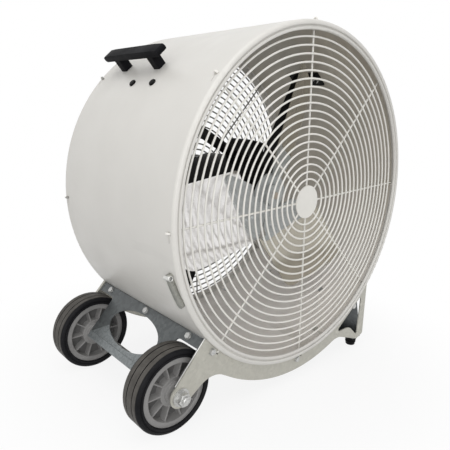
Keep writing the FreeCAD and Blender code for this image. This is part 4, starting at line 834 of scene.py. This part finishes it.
class DRUMFAN_OT_wheels(bpy.types.Operator):
    """Tyres with a grooved tread and stepped sides, and moulded rims"""

    bl_idname = "drumfan.wheels"
    bl_label = "Wheels"

    def execute(self, context):
        colors = finishes()
        plastic = tuple(colors.rim)
        rim = coated_material("rim plastic", plastic, dark=0.85, scale=12.0, contrast=0.7, grain=700.0,
                              smooth=0.42, rough=0.58, relief=0.18, marks=0.3)
        # Painted shade: a darker copy of the rim plastic in the recessed pockets between the ribs
        pocket = coated_material("rim pockets painted shade", scaled(plastic, POCKET_PAINTED_SHADE), dark=0.8, scale=30.0,
                                 contrast=0.8, grain=700.0, smooth=0.5, rough=0.65, relief=0.18)
        bush = coated_material("bush nylon", tuple(colors.bush), dark=0.9, scale=30.0, contrast=0.6,
                               grain=900.0, smooth=0.40, rough=0.55, relief=0.1)
        low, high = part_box("front_wheel_tyre")
        radius = (high.z - low.z) / 2
        half = (high.y - low.y) / 2
        rubber = tyre_material(tuple(colors.rubber), tuple(colors.tread), radius)
        for end in ("front", "rear"):
            body = end + "_wheel"
            centre = joint_point(body + "_spin")
            reach = [Vector((vertex.co.x - centre.x, vertex.co.z - centre.z)).length
                     for vertex in nodes[body + "_tyre"].data.vertices]
            profile = with_mirror(tyre_profile(min(reach), radius, half))
            shape = bmesh.new()
            lathe(shape, profile, centre, Vector((0, 1, 0)), Vector((1, 0, 0)))
            add_piece(end + "_tyre_rubber", shape, rubber, body, "tyre_rubber", body + "_tyre")
            moulding = softened(end + "_rim_moulding", body + "_rim", shapes().rim_edge, EDGE_SEGMENTS, rim,
                                body, "rim_plastic")

            def in_pocket(face):
                return abs(face.normal.y) > POCKET_FACING and abs(face.center.y - centre.y) < POCKET_DEPTH

            dress_faces(moulding, pocket, in_pocket)
            dress(bush, body + "_bush")
        return {"FINISHED"}


class DRUMFAN_OT_mouldings(bpy.types.Operator):
    """Moulded handle, feet, knob and switch box"""

    bl_idname = "drumfan.mouldings"
    bl_label = "Handle, feet and switch"

    def execute(self, context):
        sizes = shapes()
        colors = finishes()
        black = tuple(colors.black)
        grip = coated_material("handle plastic", black, dark=2.2, scale=40.0, contrast=0.7, grain=260.0,
                               smooth=0.42, rough=0.6, relief=0.5, shine=0.05, marks=0.3)
        plastic = coated_material("switch plastic", black, dark=1.5, scale=20.0, contrast=0.6, grain=900.0,
                                  smooth=0.35, rough=0.5, relief=0.2, shine=0.35, marks=0.3)
        sole = coated_material("foot rubber", scaled(tuple(colors.rubber), FOOT_SHADE), dark=1.8, scale=30.0,
                               contrast=0.6, grain=500.0, smooth=0.5, rough=0.7, relief=0.3, shine=0.1)
        mouldings = (
            ("lift_handle", sizes.handle_edge, HANDLE_SEGMENTS, grip, "frame", "handle_plastic"),
            ("rubber_feet", sizes.plastic_edge, EDGE_SEGMENTS, sole, "frame", "foot_rubber"),
            ("switch_knob", sizes.plastic_edge, EDGE_SEGMENTS, plastic, "switch_knob", "knob_plastic"),
            ("switch_box", sizes.plastic_edge, EDGE_SEGMENTS, plastic, "frame", "switch_plastic"),
            ("switch_cover", sizes.sheet_edge, EDGE_SEGMENTS, plastic, "frame", "switch_plastic"),
        )
        for node, width, segments, material, body, slot in mouldings:
            softened(node + "_moulding", node, width, segments, material, body, slot)
        dress(plastic, "cable_gland")
        return {"FINISHED"}


class DRUMFAN_OT_inside_finish(bpy.types.Operator):
    """Motor, mount and propeller"""

    bl_idname = "drumfan.inside_finish"
    bl_label = "Motor and propeller"

    def execute(self, context):
        colors = finishes()
        motor = coated_material("motor paint", tuple(colors.motor), dark=1.6, scale=18.0, contrast=0.6,
                                grain=700.0, smooth=0.38, rough=0.55, relief=0.2, shine=0.08, marks=0.2)
        blade = blade_material("blade sheet", tuple(colors.blade), metallic=0.85, smooth=0.07, rough=0.15)
        # Painted shade and painted reflection: a darker tan copy of the blade sheet for blades 2 and 3
        dust_and_shade = blade_material("blade sheet painted shade", tuple(colors.shaded_blade), metallic=0.6, smooth=0.14,
                               rough=0.26)
        spider = zinc_material("spider plating", tuple(colors.spider), bright=1.15, scale=220.0, metallic=0.3)
        steel = zinc_material("turned steel", tuple(colors.turned), bright=1.1, scale=500.0, metallic=0.8)
        dress(motor, "motor_shell", "motor_front_bell", "motor_rear_bell", "motor_conduit", "capacitor_cover")
        dress(motor, "motor_mount_band", "motor_mount_arms", "motor_mount_bolts")
        dress(blade, "propeller_blade_1")
        dress(dust_and_shade, "propeller_blade_2", "propeller_blade_3")
        dress(spider, "propeller_spider", "propeller_hub", "propeller_rivets")
        dress(steel, "motor_shaft", "motor_bearings", "propeller_set_screw")
        return {"FINISHED"}


def area_light(name, place, target, size, power):
    """A soft box that points at a target."""
    data = bpy.data.lights.new(name, "AREA")
    data.shape = "DISK"
    data.size = size
    data.energy = power
    lamp = bpy.data.objects.new(name, data)
    lamp.location = place
    lamp.rotation_euler = (target - place).to_track_quat("-Z", "Y").to_euler()
    bpy.context.scene.collection.objects.link(lamp)


def seen_as_backdrop(tree):
    """One where a ray comes from the camera, a reflection or glass."""
    rays = tree.nodes.new("ShaderNodeLightPath").outputs
    glossy = combined(tree, "MAXIMUM", rays["Is Camera Ray"], rays["Is Glossy Ray"])
    return combined(tree, "MAXIMUM", glossy, rays["Is Transmission Ray"])


def floor_material(shade):
    """Pale floor with a light shadow near the fan, fading into the white backdrop."""
    material = bpy.data.materials.new("studio floor")
    material.use_nodes = True
    tree = material.node_tree
    tree.nodes.clear()
    reach = tree.nodes.new("ShaderNodeVectorMath")
    reach.operation = "LENGTH"
    tree.links.new(object_place(tree), reach.inputs[0])
    fade = range_node(tree, reach.outputs["Value"], FADE_START, FADE_END, smooth=True)
    fade.inputs["To Min"].default_value = LEAST_GLOW
    matte = tree.nodes.new("ShaderNodeBsdfDiffuse")
    matte.inputs["Color"].default_value = (shade, shade, shade, 1)
    glow = tree.nodes.new("ShaderNodeEmission")
    glow.inputs["Strength"].default_value = 1.0
    pale = mixed_shaders(tree, fade.outputs["Result"], matte.outputs[0], glow.outputs[0])
    surface = mixed_shaders(tree, seen_as_backdrop(tree), matte.outputs[0], pale)
    result = tree.nodes.new("ShaderNodeOutputMaterial")
    tree.links.new(surface, result.inputs["Surface"])
    return material


def background(tree, strength):
    """A white background of some strength."""
    node = tree.nodes.new("ShaderNodeBackground")
    node.inputs["Color"].default_value = (1, 1, 1, 1)
    node.inputs["Strength"].default_value = strength
    return node.outputs[0]


def studio_world(strength):
    """Even pale light, seen as white by the camera and in reflections."""
    world = bpy.data.worlds.new("studio")
    world.use_nodes = True
    tree = world.node_tree
    tree.nodes.clear()
    light = mixed_shaders(tree, seen_as_backdrop(tree), background(tree, strength), background(tree, 1.0))
    result = tree.nodes.new("ShaderNodeOutputWorld")
    tree.links.new(light, result.inputs["Surface"])
    return world


def studio_floor(shade):
    """A wide flat floor."""
    shape = bmesh.new()
    bmesh.ops.create_grid(shape, x_segments=1, y_segments=1, size=FLOOR_REACH)
    mesh = bpy.data.meshes.new("studio_floor")
    shape.to_mesh(mesh)
    shape.free()
    mesh.materials.append(floor_material(shade))
    return bpy.data.objects.new("studio_floor", mesh)


def photo_camera(settings):
    """A camera that sees the fan as the photograph does."""
    data = bpy.data.cameras.new("photo camera")
    data.lens = settings.camera_lens
    data.sensor_width = SENSOR_WIDTH
    camera = bpy.data.objects.new("photo camera", data)
    heading = settings.camera_heading
    dip = settings.camera_dip
    roll = settings.camera_roll
    look = Vector((math.sin(heading) * math.cos(dip), math.cos(heading) * math.cos(dip), -math.sin(dip)))
    level = look.cross(Vector((0, 0, 1))).normalized()
    upward = level.cross(look)
    right = level * math.cos(roll) + upward * math.sin(roll)
    top = upward * math.cos(roll) - level * math.sin(roll)
    turn = Matrix((right, top, -look)).transposed()
    place = guard_middle + Vector(settings.camera_offset)
    camera.matrix_world = Matrix.Translation(place) @ turn.to_4x4()
    return camera


class DRUMFAN_OT_stage(bpy.types.Operator):
    """Floor, light and camera"""

    bl_idname = "drumfan.stage"
    bl_label = "Studio"

    def execute(self, context):
        scene = context.scene
        settings = stage_settings()
        scene.view_settings.view_transform = "Standard"
        scene.world = studio_world(settings.sky_strength)
        floor = studio_floor(settings.floor_shade)
        scene.collection.objects.link(floor)
        target = Vector((guard_middle.x, 0.0, guard_middle.z))
        key_place = target + Vector(settings.key_offset)
        fill_place = target + Vector(settings.fill_offset)
        area_light("overhead soft box", key_place, target, settings.key_size, settings.key_power)
        area_light("left soft box", fill_place, target, settings.fill_size, settings.fill_power)
        camera = photo_camera(settings)
        scene.collection.objects.link(camera)
        scene.camera = camera
        return {"FINISHED"}


class DRUMFAN_PT_panel(bpy.types.Panel):
    """Lists the steps and settings of the dressing"""

    bl_idname = "DRUMFAN_PT_panel"
    bl_label = "Drum fan"
    bl_space_type = "VIEW_3D"
    bl_region_type = "UI"
    bl_category = "Drum fan"

    def draw(self, context):
        for step in STEPS:
            self.layout.operator(step.bl_idname)
        for settings in (finishes(), shapes(), stage_settings()):
            for key in settings.__annotations__:
                self.layout.prop(settings, key)


STEPS = (DRUMFAN_OT_drum_finish, DRUMFAN_OT_guard_clips, DRUMFAN_OT_cradle_finish, DRUMFAN_OT_wheels,
         DRUMFAN_OT_mouldings, DRUMFAN_OT_inside_finish, DRUMFAN_OT_stage)
CLASSES = (DrumFanFinishes, DrumFanShapes, DrumFanStage) + STEPS + (DRUMFAN_PT_panel,)


def register():
    """Add the classes and the settings."""
    for item in CLASSES:
        bpy.utils.register_class(item)
    bpy.types.Scene.drum_fan_finishes = bpy.props.PointerProperty(type=DrumFanFinishes)
    bpy.types.Scene.drum_fan_shapes = bpy.props.PointerProperty(type=DrumFanShapes)
    bpy.types.Scene.drum_fan_stage = bpy.props.PointerProperty(type=DrumFanStage)


def unregister():
    """Take the settings and the classes away."""
    del bpy.types.Scene.drum_fan_stage
    del bpy.types.Scene.drum_fan_shapes
    del bpy.types.Scene.drum_fan_finishes
    for item in reversed(CLASSES):
        bpy.utils.unregister_class(item)


def main():
    """Run every step."""
    register()
    bpy.ops.drumfan.drum_finish()
    bpy.ops.drumfan.guard_clips()
    bpy.ops.drumfan.cradle_finish()
    bpy.ops.drumfan.wheels()
    bpy.ops.drumfan.mouldings()
    bpy.ops.drumfan.inside_finish()
    bpy.ops.drumfan.stage()
    bpy.context.view_layer.update()


if __name__ == "__main__":
    main()
